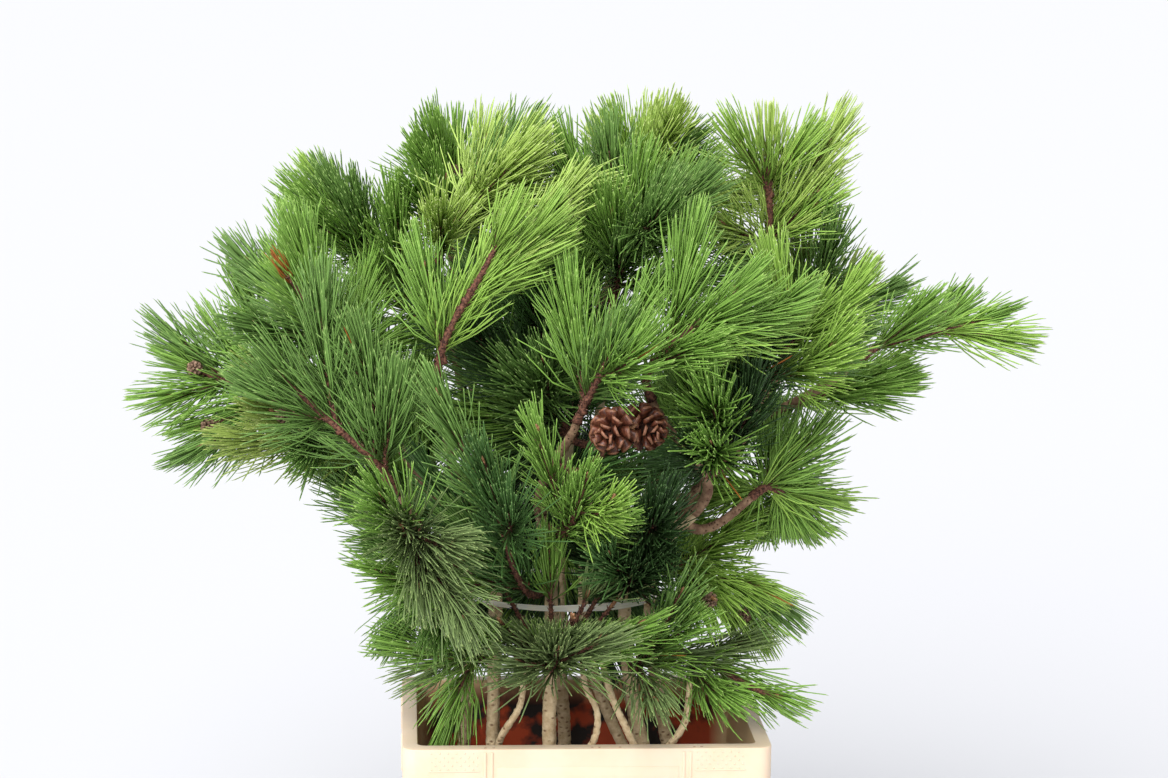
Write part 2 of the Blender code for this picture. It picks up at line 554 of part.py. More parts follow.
def main():
    clear_scene()
    group = collection("mugo_pine_bunch")
    ribs = collection("crate_ribs")
    loose = collection("loose_twigs")
    cream = material("cream_plastic", (0.93, 0.84, 0.64), 0.4)
    band_surface = material("band_rubber", (0.85, 0.80, 0.66), 0.6)
    bark = material("bark", (0.26, 0.18, 0.11), 0.85)
    needles = material("needles", (0.09, 0.24, 0.04), 0.5)

    make_crate(cream, group, ribs)
    for rib in ribs.objects:
        rib.hide_render = True
        rib.display_type = "WIRE"
    make_band(band_surface, group)

    paths = {}
    space = Space()
    for name, row in STEMS.items():
        paths[name] = stem_path(*row)
    for name, (carrier, share, end, radii) in BOUGHS.items():
        paths[name] = bough_path(paths[carrier], share, end, radii)
    for name, (points, radii) in paths.items():
        tube_curve(name, points, radii, 2 if name in STEMS else 1, bark, group)
        space.add_path(points, radii, name)
    for angle in range(0, 360, 10):
        space.add(band_point(angle) + UP * BAND_Z, band_point(angle + 10) + UP * BAND_Z,
                  (BAND_ROOM, BAND_ROOM), "elastic_band")

    twigs = {}
    for name, (carrier, share, tip, _, _) in MASSES.items():
        twigs[name] = [main_twig(paths[carrier], share, tip)]
        space.add_path(twigs[name][0], twig_radii(0, len(twigs[name][0])), (name, 0))
        if name == CONE_TWIG:
            for place, axis in cone_places(twigs[name][0][-1]):
                half = axis * (CONE_SIZE[1] - CONE_SIZE[0] / 2)
                space.add(place - half, place + half, (CONE_SIZE[0], CONE_SIZE[0]), (name, "cones"))
    for number, (name, (_, _, _, buds, count)) in enumerate(MASSES.items()):
        rng = random.Random(100 + number)
        main = twigs[name][0]
        for path in [twig_to_bud(main, bud) for bud in buds] + further_twigs(main, count, rng):
            steps = list(zip(path[1:], path[2:]))
            own = {(name, shoot) for shoot in range(len(twigs[name]))}
            if all(not meets_crate(*step) and space.is_free(*step, (SIDE_ROOM, SIDE_ROOM), own, SIDE_ROOM)
                   for step in steps):
                space.add_path(path, twig_radii(1, len(path)), (name, len(twigs[name])))
                twigs[name].append(path)

    for number, name in enumerate(MASSES):
        rng = random.Random(500 + number)
        pieces = [twig_mesh(path, min(shoot, 1), name, shoot, space, needles, loose, rng)
                  for shoot, path in enumerate(twigs[name])]
        if name == CONE_TWIG:
            pieces += [cone_mesh(*spot, bark, loose) for spot in cone_places(twigs[name][0][-1])]
        join_mass(name, pieces, needles, group, loose)


main()
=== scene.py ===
import math
import random

import bmesh
import bpy
import numpy as np
from mathutils import Matrix, Vector, noise


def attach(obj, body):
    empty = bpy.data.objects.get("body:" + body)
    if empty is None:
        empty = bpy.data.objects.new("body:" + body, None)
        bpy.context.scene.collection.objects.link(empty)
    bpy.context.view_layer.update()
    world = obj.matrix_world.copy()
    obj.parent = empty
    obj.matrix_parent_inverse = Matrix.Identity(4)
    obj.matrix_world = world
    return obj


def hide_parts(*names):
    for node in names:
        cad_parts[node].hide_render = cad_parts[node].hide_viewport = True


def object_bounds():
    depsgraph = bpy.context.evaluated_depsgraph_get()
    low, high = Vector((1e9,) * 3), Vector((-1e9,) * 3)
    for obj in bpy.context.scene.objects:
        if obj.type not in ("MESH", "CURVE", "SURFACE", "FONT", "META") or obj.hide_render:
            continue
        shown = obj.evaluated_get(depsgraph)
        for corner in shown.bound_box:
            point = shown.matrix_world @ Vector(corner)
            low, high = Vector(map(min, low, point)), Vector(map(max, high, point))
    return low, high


# A bunch of cut mugo pine branches, tied with a flat band, standing in a cream plastic crate.
# Metres, +X right, +Y back, +Z up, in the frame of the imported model.
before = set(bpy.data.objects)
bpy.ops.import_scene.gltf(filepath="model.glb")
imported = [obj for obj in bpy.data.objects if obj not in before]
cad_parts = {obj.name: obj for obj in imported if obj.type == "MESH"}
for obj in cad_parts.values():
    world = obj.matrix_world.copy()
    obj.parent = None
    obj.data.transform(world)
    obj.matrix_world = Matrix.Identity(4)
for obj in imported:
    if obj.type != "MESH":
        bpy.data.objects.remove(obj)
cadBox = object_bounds()
up = Vector((0, 0, 1))
goldenAngle = math.radians(137.5)
noise.seed_set(7)          # noise_vector would start from the clock, and differ from run to run


# Small tools

def toLinear(code):
    parts = [int(code[i:i + 2], 16) / 255 for i in (1, 3, 5)]
    return (*[c / 12.92 if c <= 0.04045 else ((c + 0.055) / 1.055) ** 2.4 for c in parts], 1.0)


def perMetre(millimetres):
    # texture scale for a pattern whose features are this large
    return 1000 / millimetres


def link(tree, node, links):
    # each source is an output, or a node whose first output is meant
    for name, source in links.items():
        output = source.outputs[0] if isinstance(source, bpy.types.Node) else source
        tree.links.new(output, node.inputs[name])


def addNode(tree, kind, settings=None, links=None):
    node = tree.nodes.new(kind)
    for name, value in (settings or {}).items():
        if name == "stops":
            while len(node.color_ramp.elements) < len(value):
                node.color_ramp.elements.new(0.5)
            for stop, (place, code) in zip(node.color_ramp.elements, value):
                stop.position = place
                stop.color = toLinear(code)
        elif isinstance(name, str) and hasattr(node, name):
            setattr(node, name, value)
        else:
            node.inputs[name].default_value = value
    link(tree, node, links or {})
    return node


def newMaterial(name, looks):
    surface = bpy.data.materials.new(name)
    surface.use_nodes = True
    shader = surface.node_tree.nodes["Principled BSDF"]
    for socket, value in looks.items():
        shader.inputs[socket].default_value = value
    return surface, surface.node_tree, shader


def mix(low, high, share):
    return low + (high - low) * share


def addObject(name, data):
    found = bpy.data.objects.new(name, data)
    bpy.context.scene.collection.objects.link(found)
    return found


def addPiece(name, mesh, surfaces, nodes=()):
    for surface in surfaces:
        mesh.materials.append(surface)
    mesh.shade_smooth()
    piece = addObject(name, mesh)
    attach(piece, "root")
    if nodes:
        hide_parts(*nodes)
    return piece


def meshFrom(name, bm):
    mesh = bpy.data.meshes.new(name)
    bm.to_mesh(mesh)
    bm.free()
    return mesh


def made(result, kind=bmesh.types.BMVert):
    # the new parts of one kind that an operator reports
    return [part for part in result["geom"] if isinstance(part, kind)]


def joined(name, parts, surface):
    # one piece of several bmeshes
    whole = bmesh.new()
    for bm in parts:
        mesh = meshFrom("part", bm)
        whole.from_mesh(mesh)
        bpy.data.meshes.remove(mesh)
    addPiece(name, meshFrom(name, whole), [surface])


def metres(sizes):
    # lengths in mm, one or in tuples, as metres
    if isinstance(sizes, (tuple, list)):
        return tuple(metres(size) for size in sizes)
    return round(sizes / 1000, 7)


def vectorOf(sizes):
    return Vector(metres(sizes))


# Materials

def blotched(name, looks, size, detail, stops, bump=None):
    # a colour that changes in blotches of a size in mm, or of two sizes along and round a UV map;
    # bump is the strength and depth of their relief
    surface, tree, shader = newMaterial(name, looks)
    spots = addNode(tree, "ShaderNodeTexCoord")
    if isinstance(size, tuple):
        drawn = addNode(tree, "ShaderNodeMapping", {"Scale": (*map(perMetre, size), 1)},
                        {"Vector": spots.outputs["UV"]})
        scale, where = 1.0, drawn
    else:
        scale, where = perMetre(size), spots.outputs["Object"]
    blotch = addNode(tree, "ShaderNodeTexNoise", {"Scale": scale, "Detail": detail}, {"Vector": where})
    color = addNode(tree, "ShaderNodeValToRGB", {"stops": stops}, {"Fac": blotch})
    link(tree, shader, {"Base Color": color})
    if bump:
        relief = addNode(tree, "ShaderNodeBump", {"Strength": bump[0], "Distance": bump[1]},
                         {"Height": blotch})
        link(tree, shader, {"Normal": relief})
    return surface, tree, shader


def creamPolypropylene():
    # Injection-moulded polypropylene: a dull sheen, faint blotches from handling, and edges that
    # daylight softens a little
    surface, tree, shader = blotched("cream_polypropylene", {
        "IOR": 1.49, "Subsurface Weight": 0.15, "Subsurface Radius": (1.0, 0.7, 0.4),
        "Subsurface Scale": 0.003}, 45, 4.0, [(0.35, "#E8CFB2"), (0.65, "#EED7BD")])
    spots = addNode(tree, "ShaderNodeTexCoord").outputs["Object"]
    scuff = addNode(tree, "ShaderNodeTexNoise", {"Scale": perMetre(3), "Detail": 6.0}, {"Vector": spots})
    rough = addNode(tree, "ShaderNodeMapRange", {"To Min": 0.34, "To Max": 0.52}, {"Value": scuff})
    bump = addNode(tree, "ShaderNodeBump", {"Strength": 0.25, "Distance": 0.0003}, {"Height": scuff})
    link(tree, shader, {"Roughness": rough, "Normal": bump})
    return surface


def paintedGlowAndShadePolypropylene():
    # The inside of the crate: painted glow, an orange for light that comes through the wall, under blotches
    # of painted shade in near-black brown;
    # both grow further down, and near the rim and on the side walls the plastic keeps a tan cream
    surface, tree, shader = newMaterial("polypropylene_painted_glow_and_shade", {"Roughness": 0.6, "IOR": 1.49})
    spots = addNode(tree, "ShaderNodeTexCoord").outputs["Object"]
    axes = addNode(tree, "ShaderNodeSeparateXYZ", {}, {"Vector": spots})
    # painted glow and painted shade grow from nothing near the rim and the side walls to full further in and
    # down
    below = addNode(tree, "ShaderNodeMapRange", {"From Min": 0.298, "From Max": 0.272},
                    {"Value": axes.outputs["Z"]})
    aside = addNode(tree, "ShaderNodeMath", {"operation": "ABSOLUTE"}, {0: axes.outputs["X"]})
    wall = addNode(tree, "ShaderNodeMapRange", {"From Min": 0.158, "From Max": 0.143}, {"Value": aside})
    depth = addNode(tree, "ShaderNodeMath", {"operation": "MULTIPLY"}, {0: below, 1: wall})
    # the first colour is a tan cream near the rim and side walls; the second is painted glow, the orange of
    # light coming through the wall
    nearRimColor, paintedGlowColor = toLinear("#DDBE92"), toLinear("#B8441A")
    paintedGlow = addNode(tree, "ShaderNodeMix", {"data_type": "RGBA", 6: nearRimColor, 7: paintedGlowColor}, {0: depth})
    # blotches of painted shade, where the foliage above shades the inside of the crate
    paintedShadeNoise = addNode(tree, "ShaderNodeTexNoise", {"Scale": perMetre(34), "Detail": 5.0}, {"Vector": spots})
    paintedShadeMask = addNode(tree, "ShaderNodeMapRange", {"From Min": 0.46, "From Max": 0.56}, {"Value": paintedShadeNoise})
    share = addNode(tree, "ShaderNodeMath", {"operation": "MULTIPLY"}, {0: paintedShadeMask, 1: depth})
    # mixes in the near-black brown of the painted shade
    color = addNode(tree, "ShaderNodeMix", {"data_type": "RGBA", 7: toLinear("#1B110B")},
                    {0: share, 6: paintedGlow.outputs[2]})
    link(tree, shader, {"Base Color": color.outputs[2]})
    return surface


def barkMaterial(name, pale, dark, scar, scarSize, fibre):
    # Dry bark: dull, split lengthwise in fine fibres, with dark scars where needles once grew.
    # The pattern follows the limb by its UV map, which is in metres round it and along it.
    surface, tree, shader = newMaterial(name, {"Roughness": 0.86, "Specular IOR Level": 0.3})
    spots = addNode(tree, "ShaderNodeTexCoord").outputs["UV"]
    patch = addNode(tree, "ShaderNodeTexNoise", {"Scale": perMetre(9), "Detail": 5.0, "Roughness": 0.65},
                    {"Vector": spots})
    ground = addNode(tree, "ShaderNodeValToRGB", {"stops": [(0.36, dark), (0.62, pale)]}, {"Fac": patch})
    across = addNode(tree, "ShaderNodeMapping", {"Scale": (*map(perMetre, scarSize), 1)}, {"Vector": spots})
    cells = addNode(tree, "ShaderNodeTexVoronoi", {"Scale": 1.0, "Randomness": 0.55}, {"Vector": across})
    mark = addNode(tree, "ShaderNodeMapRange",
                   {"From Min": 0.08, "From Max": 0.30, "To Min": 1.0, "To Max": 0.0}, {"Value": cells})
    color = addNode(tree, "ShaderNodeMix", {"data_type": "RGBA", 7: toLinear(scar)}, {0: mark, 6: ground})
    along = addNode(tree, "ShaderNodeMapping", {"Scale": (*map(perMetre, fibre), 1)}, {"Vector": spots})
    fibres = addNode(tree, "ShaderNodeTexNoise", {"Scale": 1.0, "Detail": 4.0}, {"Vector": along})
    depth = addNode(tree, "ShaderNodeMath", {"operation": "SUBTRACT"}, {0: fibres, 1: mark})
    bump = addNode(tree, "ShaderNodeBump", {"Strength": 0.8, "Distance": 0.0008}, {"Height": depth})
    link(tree, shader, {"Base Color": color.outputs[2], "Normal": bump})
    return surface


def speckled(name, pale, dark, size, roughness, specular=0.5):
    # A living or woody surface with small blotches: buds, dry scales, broken wood
    return blotched(name, {"Roughness": roughness, "Specular IOR Level": specular}, size, 4.0,
                    [(0.38, dark), (0.62, pale)], (0.5, 0.0003))[0]


def needleMaterial(name, code, roughness):
    # A waxy pine needle: one plain green with a soft gloss, a little lighter and darker in places
    surface, tree, shader = newMaterial(name, {
        "Base Color": toLinear(code), "Roughness": roughness, "IOR": 1.45, "Specular IOR Level": 0.35})
    spots = addNode(tree, "ShaderNodeTexCoord").outputs["Object"]
    tint = addNode(tree, "ShaderNodeTexNoise", {"Scale": perMetre(14), "Detail": 2.0}, {"Vector": spots})
    light = addNode(tree, "ShaderNodeMapRange", {"To Min": 0.72, "To Max": 1.28}, {"Value": tint})
    color = addNode(tree, "ShaderNodeHueSaturation", {"Color": toLinear(code)}, {"Value": light})
    link(tree, shader, {"Base Color": color})
    return surface


plastic = creamPolypropylene()
# the inside of the crate, with painted glow and painted shade
paintedGlowShadePlastic = paintedGlowAndShadePolypropylene()
# dirt that stays in the small marks of the mould on the rim
stain = blotched("mould_stain", {"Roughness": 0.7}, 2, 3.0, [(0.4, "#8A4E33"), (0.6, "#C99A72")])[0]
# stretched natural rubber: pale, slightly see-through, with fine lines along the band
rubber = blotched("natural_rubber", {
    "Roughness": 0.55, "IOR": 1.52, "Subsurface Weight": 0.3, "Subsurface Radius": (1.0, 0.7, 0.4),
    "Subsurface Scale": 0.004}, (30, 1), 3.0, [(0.3, "#F2E8D0"), (0.6, "#FFF9EA")], (0.4, 0.0004))[0]
oldBark = barkMaterial("old_pine_bark", "#DCC6A0", "#B89D78", "#836247", (9.0, 5.0), (0.7, 3.5))
boughBark = barkMaterial("scaly_bough_bark", "#A5866A", "#6F5140", "#42291D", (5.0, 4.0), (0.8, 3.0))
twigBark = speckled("peeling_twig_bark", "#7C5240", "#38201A", 2.2, 0.8, 0.3)
scaleBark = speckled("dry_bud_scales", "#8C6657", "#452B25", 3.0, 0.75, 0.3)
budSkin = speckled("resinous_bud", "#B98A62", "#7E5238", 1.6, 0.5)
coneWood = speckled("cone_scale_wood", "#76422D", "#431F14", 4.0, 0.45)
coneEnds = speckled("cone_scale_ends", "#9C6A50", "#6E4430", 3.0, 0.5)
coneHeart = speckled("cone_core", "#3A2118", "#20110C", 3.0, 0.8, 0.2)
freshWood = speckled("torn_pine_wood", "#E8C79C", "#C4803F", 2.5, 0.7, 0.3)
print("materials made")


# The rule of the branches, as in the part's source: limbs from their sizes, twigs by seed

ruleSizes = {
    "gap": 0.0003, "straightStart": 0.004, "wall": 0.003,
    "bandCenter": (-0.022, -0.010), "bandRadii": (0.096, 0.078), "bandZ": 0.428,
    "bandHold": 0.006, "atBand": 0.62,
    "rimSize": (0.358, 0.265), "rimWidth": 0.012, "crateHeight": 0.300, "crateTaper": 0.94,
    "barePart": (0.30, 0.24), "sprayRings": (5, 4), "sideSpread": (58, 38, 16),
    "sideForks": (0.12, 0.62), "sideReach": (0.55, 0.72), "shortestSide": 0.085,
    "lift": {"stem": 0.20, "bough": 0.35, "twig": 0.15, "side": 0.20, "finer": 0.25},
    "bandRoom": 0.006, "mainRadii": (0.0038, 0.0026), "sideRadii": (0.0030, 0.0022),
    "coneSize": (0.021, 0.024), "cones": ((-0.015, -0.004), (0.016, 0.014)),
    "crateRoom": (0.003, 0.004), "floorRoom": 0.012,      # beside and over the rim, over the ground
    # radius that a twig is taken for while its place is sought, and room round it
    "twigRoom": (0.003, 0.003), "finerRoom": (0.002, 0.001), "tipRoom": (0.002, 0.0005),
}

# foot, place at the band (an angle on its loop, or x and y), fork, radius at foot and fork; mm
stems = {
    "stem_front_left": ((-98, -80), -138, (-120, -108, 535), (6.6, 5)),
    "stem_front": ((-38, -98), -98, (-48, -122, 535), (8.2, 5.8)),
    "stem_middle": ((140, -48), (0, -24), (25, -30, 720), (6.6, 4)),
    "stem_front_right": ((116, -92), -48, (104, -100, 530), (7.8, 5.6)),
    "stem_right": ((136, -10), -5, (145, -15, 570), (7.5, 5.2)),
    "stem_left": ((-130, 0), 180, (-180, 0, 560), (7.5, 5.2)),
    "stem_back_left": ((-90, 80), 133, (-105, 85, 600), (7, 5)),
    "stem_back": ((0, 94), 88, (-5, 120, 590), (7.5, 5.2)),
    "stem_back_right": ((95, 82), 42, (125, 85, 600), (7.2, 5)),
}

# carrier, share of its length, end, radius at start and end; mm
boughs = {
    "bough_far_left": ("stem_left", 1.0, (-268, 0, 608), (5, 3.8)),
    "bough_left_shoulder": ("stem_left", 0.88, (-222, -75, 655), (4.6, 3.8)),
    "bough_left_front": ("stem_front_left", 0.86, (-185, -155, 560), (4.6, 3.8)),
    "bough_front_plume": ("stem_front_left", 1.0, (-145, -158, 655), (5, 4)),
    "bough_center_front": ("stem_front", 1.0, (-15, -165, 630), (5.4, 3.8)),
    "bough_top_left": ("stem_back_left", 1.0, (-130, 115, 755), (5, 3.8)),
    "bough_left_plume": ("stem_back_left", 0.97, (-145, -10, 740), (4.6, 3.8)),
    "bough_top_center": ("stem_back", 1.0, (40, 115, 750), (5.2, 3.8)),
    "bough_right_plume": ("stem_front_right", 1.0, (52, -158, 650), (5.4, 4)),
    "bough_right_mid": ("stem_front_right", 0.97, (160, -105, 545), (5, 3.8)),
    "bough_right_front": ("stem_right", 0.9, (165, -92, 640), (5, 3.8)),
    "bough_right_arm": ("stem_right", 1.0, (262, -30, 660), (5.2, 3.8)),
    "bough_upper_right": ("stem_back_right", 1.0, (180, 35, 755), (5, 3.8)),
    "bough_right_back": ("stem_back_right", 0.86, (225, 120, 650), (4.6, 3.8)),
}

# masses of needles: carrier, share of its length, bud of the main twig in mm, number of further
# side twigs, finer shoots on a main and a side twig, greens of most shoots and of the others, and
# buds of the side twigs that show
masses = {
    "far_left": ("bough_far_left", 1.0, (-390, 20, 648), 0, (1, 0), "leaf", "mid",
        [(-372, 0, 593), (-359, 50, 674)]),
    "left_low": ("bough_far_left", 0.35, (-299, -120, 627), 1, (1, 0), "olive", "mid",
        [(-270, -145, 594)]),
    "left_shoulder": ("bough_left_shoulder", 1.0, (-287, -100, 756), 1, (1, 0), "leaf", "blue",
        [(-328, -20, 756), (-310, -135, 712)]),
    "left_front": ("bough_left_front", 1.0, (-290, -160, 670), 1, (1, 0), "mid", "grey",
        [(-255, -140, 735), (-185, -180, 655)]),
    "left_fan": ("bough_left_front", 0.6, (-180, -225, 540), 0, (1, 1), "grey", "grey",
        [(-163, -210, 483), (-134, -240, 526)]),
    "left_rosette": ("stem_front", 0.84, (-105, -230, 600), 1, (1, 0), "dark", "mid", [(-145, -200, 655)]),
    "front_plume": ("bough_front_plume", 1.0, (-90, -180, 805), 0, (1, 0), "bright", "lime",
        [(-160, -160, 770), (-50, -150, 785), (-30, -120, 830)]),
    "center_front": ("bough_center_front", 1.0, (15, -200, 705), 0, (1, 0), "mid", "leaf",
        [(-25, -160, 740), (50, -150, 740)]),
    "cone_twig": ("bough_center_front", 0.55, (30, -185, 622), 0, (0, 0), "dark", "mid", []),
    "center_rosette": ("stem_front", 0.94, (-10, -240, 590), 0, (1, 0), "leaf", "bright",
        [(-55, -200, 625), (20, -200, 540)]),
    "left_plume": ("bough_left_plume", 1.0, (-65, -40, 870), 1, (1, 0), "pale", "lime",
        [(-145, -100, 810), (-15, -50, 835)]),
    "top_left": ("bough_top_left", 1.0, (-126, 120, 857), 0, (0, 0), "leaf", "bright",
        [(-135, 80, 825), (-89, 110, 845)]),
    "left_back": ("bough_top_left", 0.5, (-256, 100, 812), 0, (0, 0), "bright", "leaf",
        [(-261, 50, 786), (-231, 140, 784)]),
    "center_dark": ("stem_middle", 0.78, (-40, -30, 745), 2, (3, 2), "inner", "dark", [(-70, -100, 665)]),
    "center_upper": ("stem_middle", 1.0, (65, -40, 820), 2, (3, 1), "mid", "leaf",
        [(20, 0, 830), (30, -80, 775)]),
    "top_center": ("bough_top_center", 1.0, (72, 100, 872), 0, (1, 1), "lime", "bright",
        [(29, 120, 855), (113, 100, 831), (57, 60, 846)]),
    "right_plume": ("bough_right_plume", 1.0, (125, -200, 755), 0, (1, 0), "leaf", "bright",
        [(85, -170, 790), (160, -170, 715), (90, -225, 705)]),
    "right_inner": ("bough_right_plume", 0.3, (115, -155, 635), 1, (3, 2), "inner", "dark",
        [(90, -180, 605)]),
    "right_mid_upper": ("bough_right_front", 1.0, (200, -120, 725), 1, (1, 0), "bright", "leaf",
        [(175, -100, 760), (240, -100, 690)]),
    "right_arm": ("bough_right_arm", 1.0, (395, -20, 705), 0, (0, 0), "leaf", "bright",
        [(316, -50, 708), (363, 30, 709)]),
    "right_arm_low": ("bough_right_arm", 0.5, (302, 30, 646), 0, (0, 0), "bright", "leaf",
        [(257, 0, 634)]),
    "right_mid": ("bough_right_mid", 1.0, (198, -80, 540), 0, (2, 1), "bright", "leaf",
        [(200, -40, 590), (200, -50, 513)]),
    "upper_right": ("bough_upper_right", 1.0, (180, 20, 865), 0, (0, 0), "lime", "bright",
        [(230, 40, 820), (245, 60, 870), (153, 0, 868)]),
    "right_back": ("bough_right_back", 1.0, (280, 125, 714), 0, (1, 0), "olive", "leaf",
        [(226, 100, 744), (254, 180, 693)]),
    "back_center": ("stem_back", 0.92, (-40, 240, 700), 3, (3, 2), "mid", "leaf", []),
    "back_left": ("stem_back_left", 0.8, (-245, 150, 630), 0, (2, 1), "mid", "leaf",
        [(-211, 160, 531), (-284, 120, 576), (-192, 200, 582)]),
    "back_right": ("stem_back_right", 0.8, (150, 225, 620), 3, (3, 2), "leaf", "mid", []),
    "low_left": ("stem_left", 0.8, (-180, -30, 503), 0, (2, 1), "mid", "grey",
        [(-162, -80, 438), (-176, 0, 547)]),
    "low_left_front": ("stem_front_left", 0.6, (-169, -70, 384), 0, (0, 0), "leaf", "grey",
        [(-105, -140, 411), (-138, -70, 309)]),
    "waist_front": ("stem_front", 0.6, (-31, -175, 410), 1, (0, 0), "grey", "dark",
        [(-68, -170, 397), (7, -180, 421)]),
    "low_right": ("stem_front_right", 0.6, (61, -160, 358), 0, (0, 0), "grey", "mid", [(84, -160, 461)]),
    "right_hanging": ("stem_right", 0.8, (169, -60, 444), 0, (0, 0), "bright", "leaf",
        [(118, -120, 446), (159, -50, 411)]),
    "crate_right": ("stem_right", 0.56, (185, -90, 340), 1, (0, 0), "leaf", "grey", []),
    "back_low": ("stem_back", 0.8, (-10, 200, 475), 3, (3, 2), "inner", "dark", []),
    "center_low": ("stem_front_right", 0.8, (40, -175, 490), 0, (2, 1), "inner", "dark",
        [(65, -170, 550)]),
}


def smoothPath(start, heading, end, arrival, shares):
    # points on the cubic from start to end that leaves along heading and arrives along arrival
    reach = (end - start).length
    a, b = heading.normalized() * reach, arrival.normalized() * reach
    points = []
    for s in shares:
        points.append(start * (2 * s**3 - 3 * s**2 + 1) + a * (s**3 - 2 * s**2 + s)
                      + end * (3 * s**2 - 2 * s**3) + b * (s**3 - s**2))
    return points


def even(count):
    return [i / count for i in range(count + 1)]


def bandPoint(angle, inset=0.0):
    turn = math.radians(angle)
    radii = ruleSizes["bandRadii"]
    x, y = radii[0] * math.cos(turn), radii[1] * math.sin(turn)
    outwards = Vector((x / radii[0]**2, y / radii[1]**2, 0)).normalized()
    return Vector((*ruleSizes["bandCenter"], 0)) + Vector((x, y, 0)) - outwards * inset


def stemPath(foot, waist, fork, radii, steps):
    # upright at the floor and through the band, spreading above it
    atBand = mix(*radii, ruleSizes["atBand"])
    if isinstance(waist, tuple):
        hold = Vector((*metres(waist), ruleSizes["bandZ"]))
    else:
        hold = bandPoint(waist, atBand + 2 * ruleSizes["gap"]) + up * ruleSizes["bandZ"]
    foot = Vector((*metres(foot), ruleSizes["wall"] + ruleSizes["gap"]))
    fork = vectorOf(fork)
    below, above = hold - up * ruleSizes["bandHold"], hold + up * ruleSizes["bandHold"]
    points = [foot] + smoothPath(foot + up * ruleSizes["straightStart"], up, below, up, even(steps[0]))
    arrival = (fork - above).normalized() + up * ruleSizes["lift"]["stem"]
    points += smoothPath(above, up, fork, arrival, even(steps[1]))
    return points


def taper(points, radii):
    return [mix(*radii, i / (len(points) - 1)) for i in range(len(points))]


def spotOn(points, share):
    lengths = [(points[i + 1] - points[i]).length for i in range(len(points) - 1)]
    left = share * sum(lengths)
    for i, length in enumerate(lengths):
        if left <= length or i == len(lengths) - 1:
            return i, min(left / length, 1.0)
        left -= length


def pointOn(points, share):
    # the point at a share of a line's length, and the way that the line goes there
    step, part = spotOn(points, share)
    return points[step].lerp(points[step + 1], part), (points[step + 1] - points[step]).normalized()


def leave(path, share, target):
    # where a limb that heads for target starts, just clear of its carrier, and its heading
    points, radii = path
    if share >= 1.0:
        tangent = (points[-1] - points[-2]).normalized()
        return points[-1] + tangent * ruleSizes["gap"], tangent
    step, _ = spotOn(points, share)
    place = (points[step] + points[step + 1]) / 2
    tangent = (points[step + 1] - points[step]).normalized()
    aside = target - place
    aside = (aside - tangent * aside.dot(tangent)).normalized()
    return place + aside * ((radii[step] + radii[step + 1]) / 2 + ruleSizes["gap"]), aside


def courseOf(start, heading, tip, straight, lift, side):
    # a limb or twig before it is cut into steps; it arrives straight on, turned up by lift
    return {"start": start, "heading": heading, "tip": tip,
            "arrival": straight + up * ruleSizes["lift"][lift], "side": side}


def stepped(course, shares):
    onset = course["start"] + course["heading"] * ruleSizes["straightStart"]
    return [course["start"]] + smoothPath(onset, course["heading"], course["tip"], course["arrival"], shares)


def twigShares(side):
    bare, rings = ruleSizes["barePart"][side], ruleSizes["sprayRings"][side]
    return [0.0] + [bare + (1 - bare) * i / rings for i in range(rings + 1)]


def courseFrom(carrier, share, end, lift):
    start, heading = leave(carrier, share, end)
    return courseOf(start, heading, end, (end - start).normalized(), lift, 0)


def courseToBud(main, tip, side):
    # a side twig whose bud shows: it leaves the main twig at about sideSpread's second angle
    chord = main[-1] - main[0]
    along = (tip - main[0]).dot(chord.normalized())
    away = (tip - main[0] - chord.normalized() * along).length
    share = (along - away / math.tan(math.radians(ruleSizes["sideSpread"][1]))) / chord.length
    first, last = ruleSizes["sideForks"]
    place, tangent = pointOn(main, min(max(share, first), last))
    straight = (tip - place).normalized()
    heading = (straight + tangent * 0.3).normalized()
    return courseOf(place, heading, tip, straight, "side", side)


def courseAside(path, share, turn, reach, spread, lift, side):
    # a twig that leaves the path at a share of its length, turned round it
    place, tangent = pointOn(path, share)
    across = tangent.orthogonal().normalized()
    across.rotate(Matrix.Rotation(turn, 3, tangent))
    leaving, overall, ending = (tangent * math.cos(math.radians(angle))
                                + across * math.sin(math.radians(angle)) for angle in spread)
    return courseOf(place, leaving, place + overall * reach, ending, lift, side)


def furtherCourses(main, count, rng):
    # side twigs leave the main twig one after the other, round it by the golden angle
    turn = rng.uniform(0, 2 * math.pi)
    length = sum((main[i + 1] - main[i]).length for i in range(len(main) - 1))
    found = []
    for i in range(count):
        share = mix(*ruleSizes["sideForks"], 0.28 + 0.68 * i / count) + rng.uniform(-0.03, 0.03)
        reach = max(ruleSizes["shortestSide"], length * rng.uniform(*ruleSizes["sideReach"]))
        found.append(courseAside(main, share, turn + i * goldenAngle, reach,
                                 ruleSizes["sideSpread"], "side", 1))
    return found


def meetsCrate(start, end):
    halfX, halfY = ruleSizes["rimSize"][0] / 2, ruleSizes["rimSize"][1] / 2
    beside, over = ruleSizes["crateRoom"]
    wall = ruleSizes["rimWidth"] + ruleSizes["wall"] + over + (1 - ruleSizes["crateTaper"]) * halfX
    for share in even(8):
        x, y, z = start.lerp(end, share)
        within = abs(x) < halfX + beside and abs(y) < halfY + beside
        inside = abs(x) < halfX - wall and abs(y) < halfY - wall
        low = z < ruleSizes["crateHeight"] + over
        if z < ruleSizes["floorRoom"] or (low and within and not inside):
            return True
    return False


rods = []          # limbs and twigs as tapering rods, each with its owner


def addRods(points, radii, owner):
    for i in range(len(points) - 1):
        rods.append((owner, (*points[i], *points[i + 1], radii[i], radii[i + 1])))


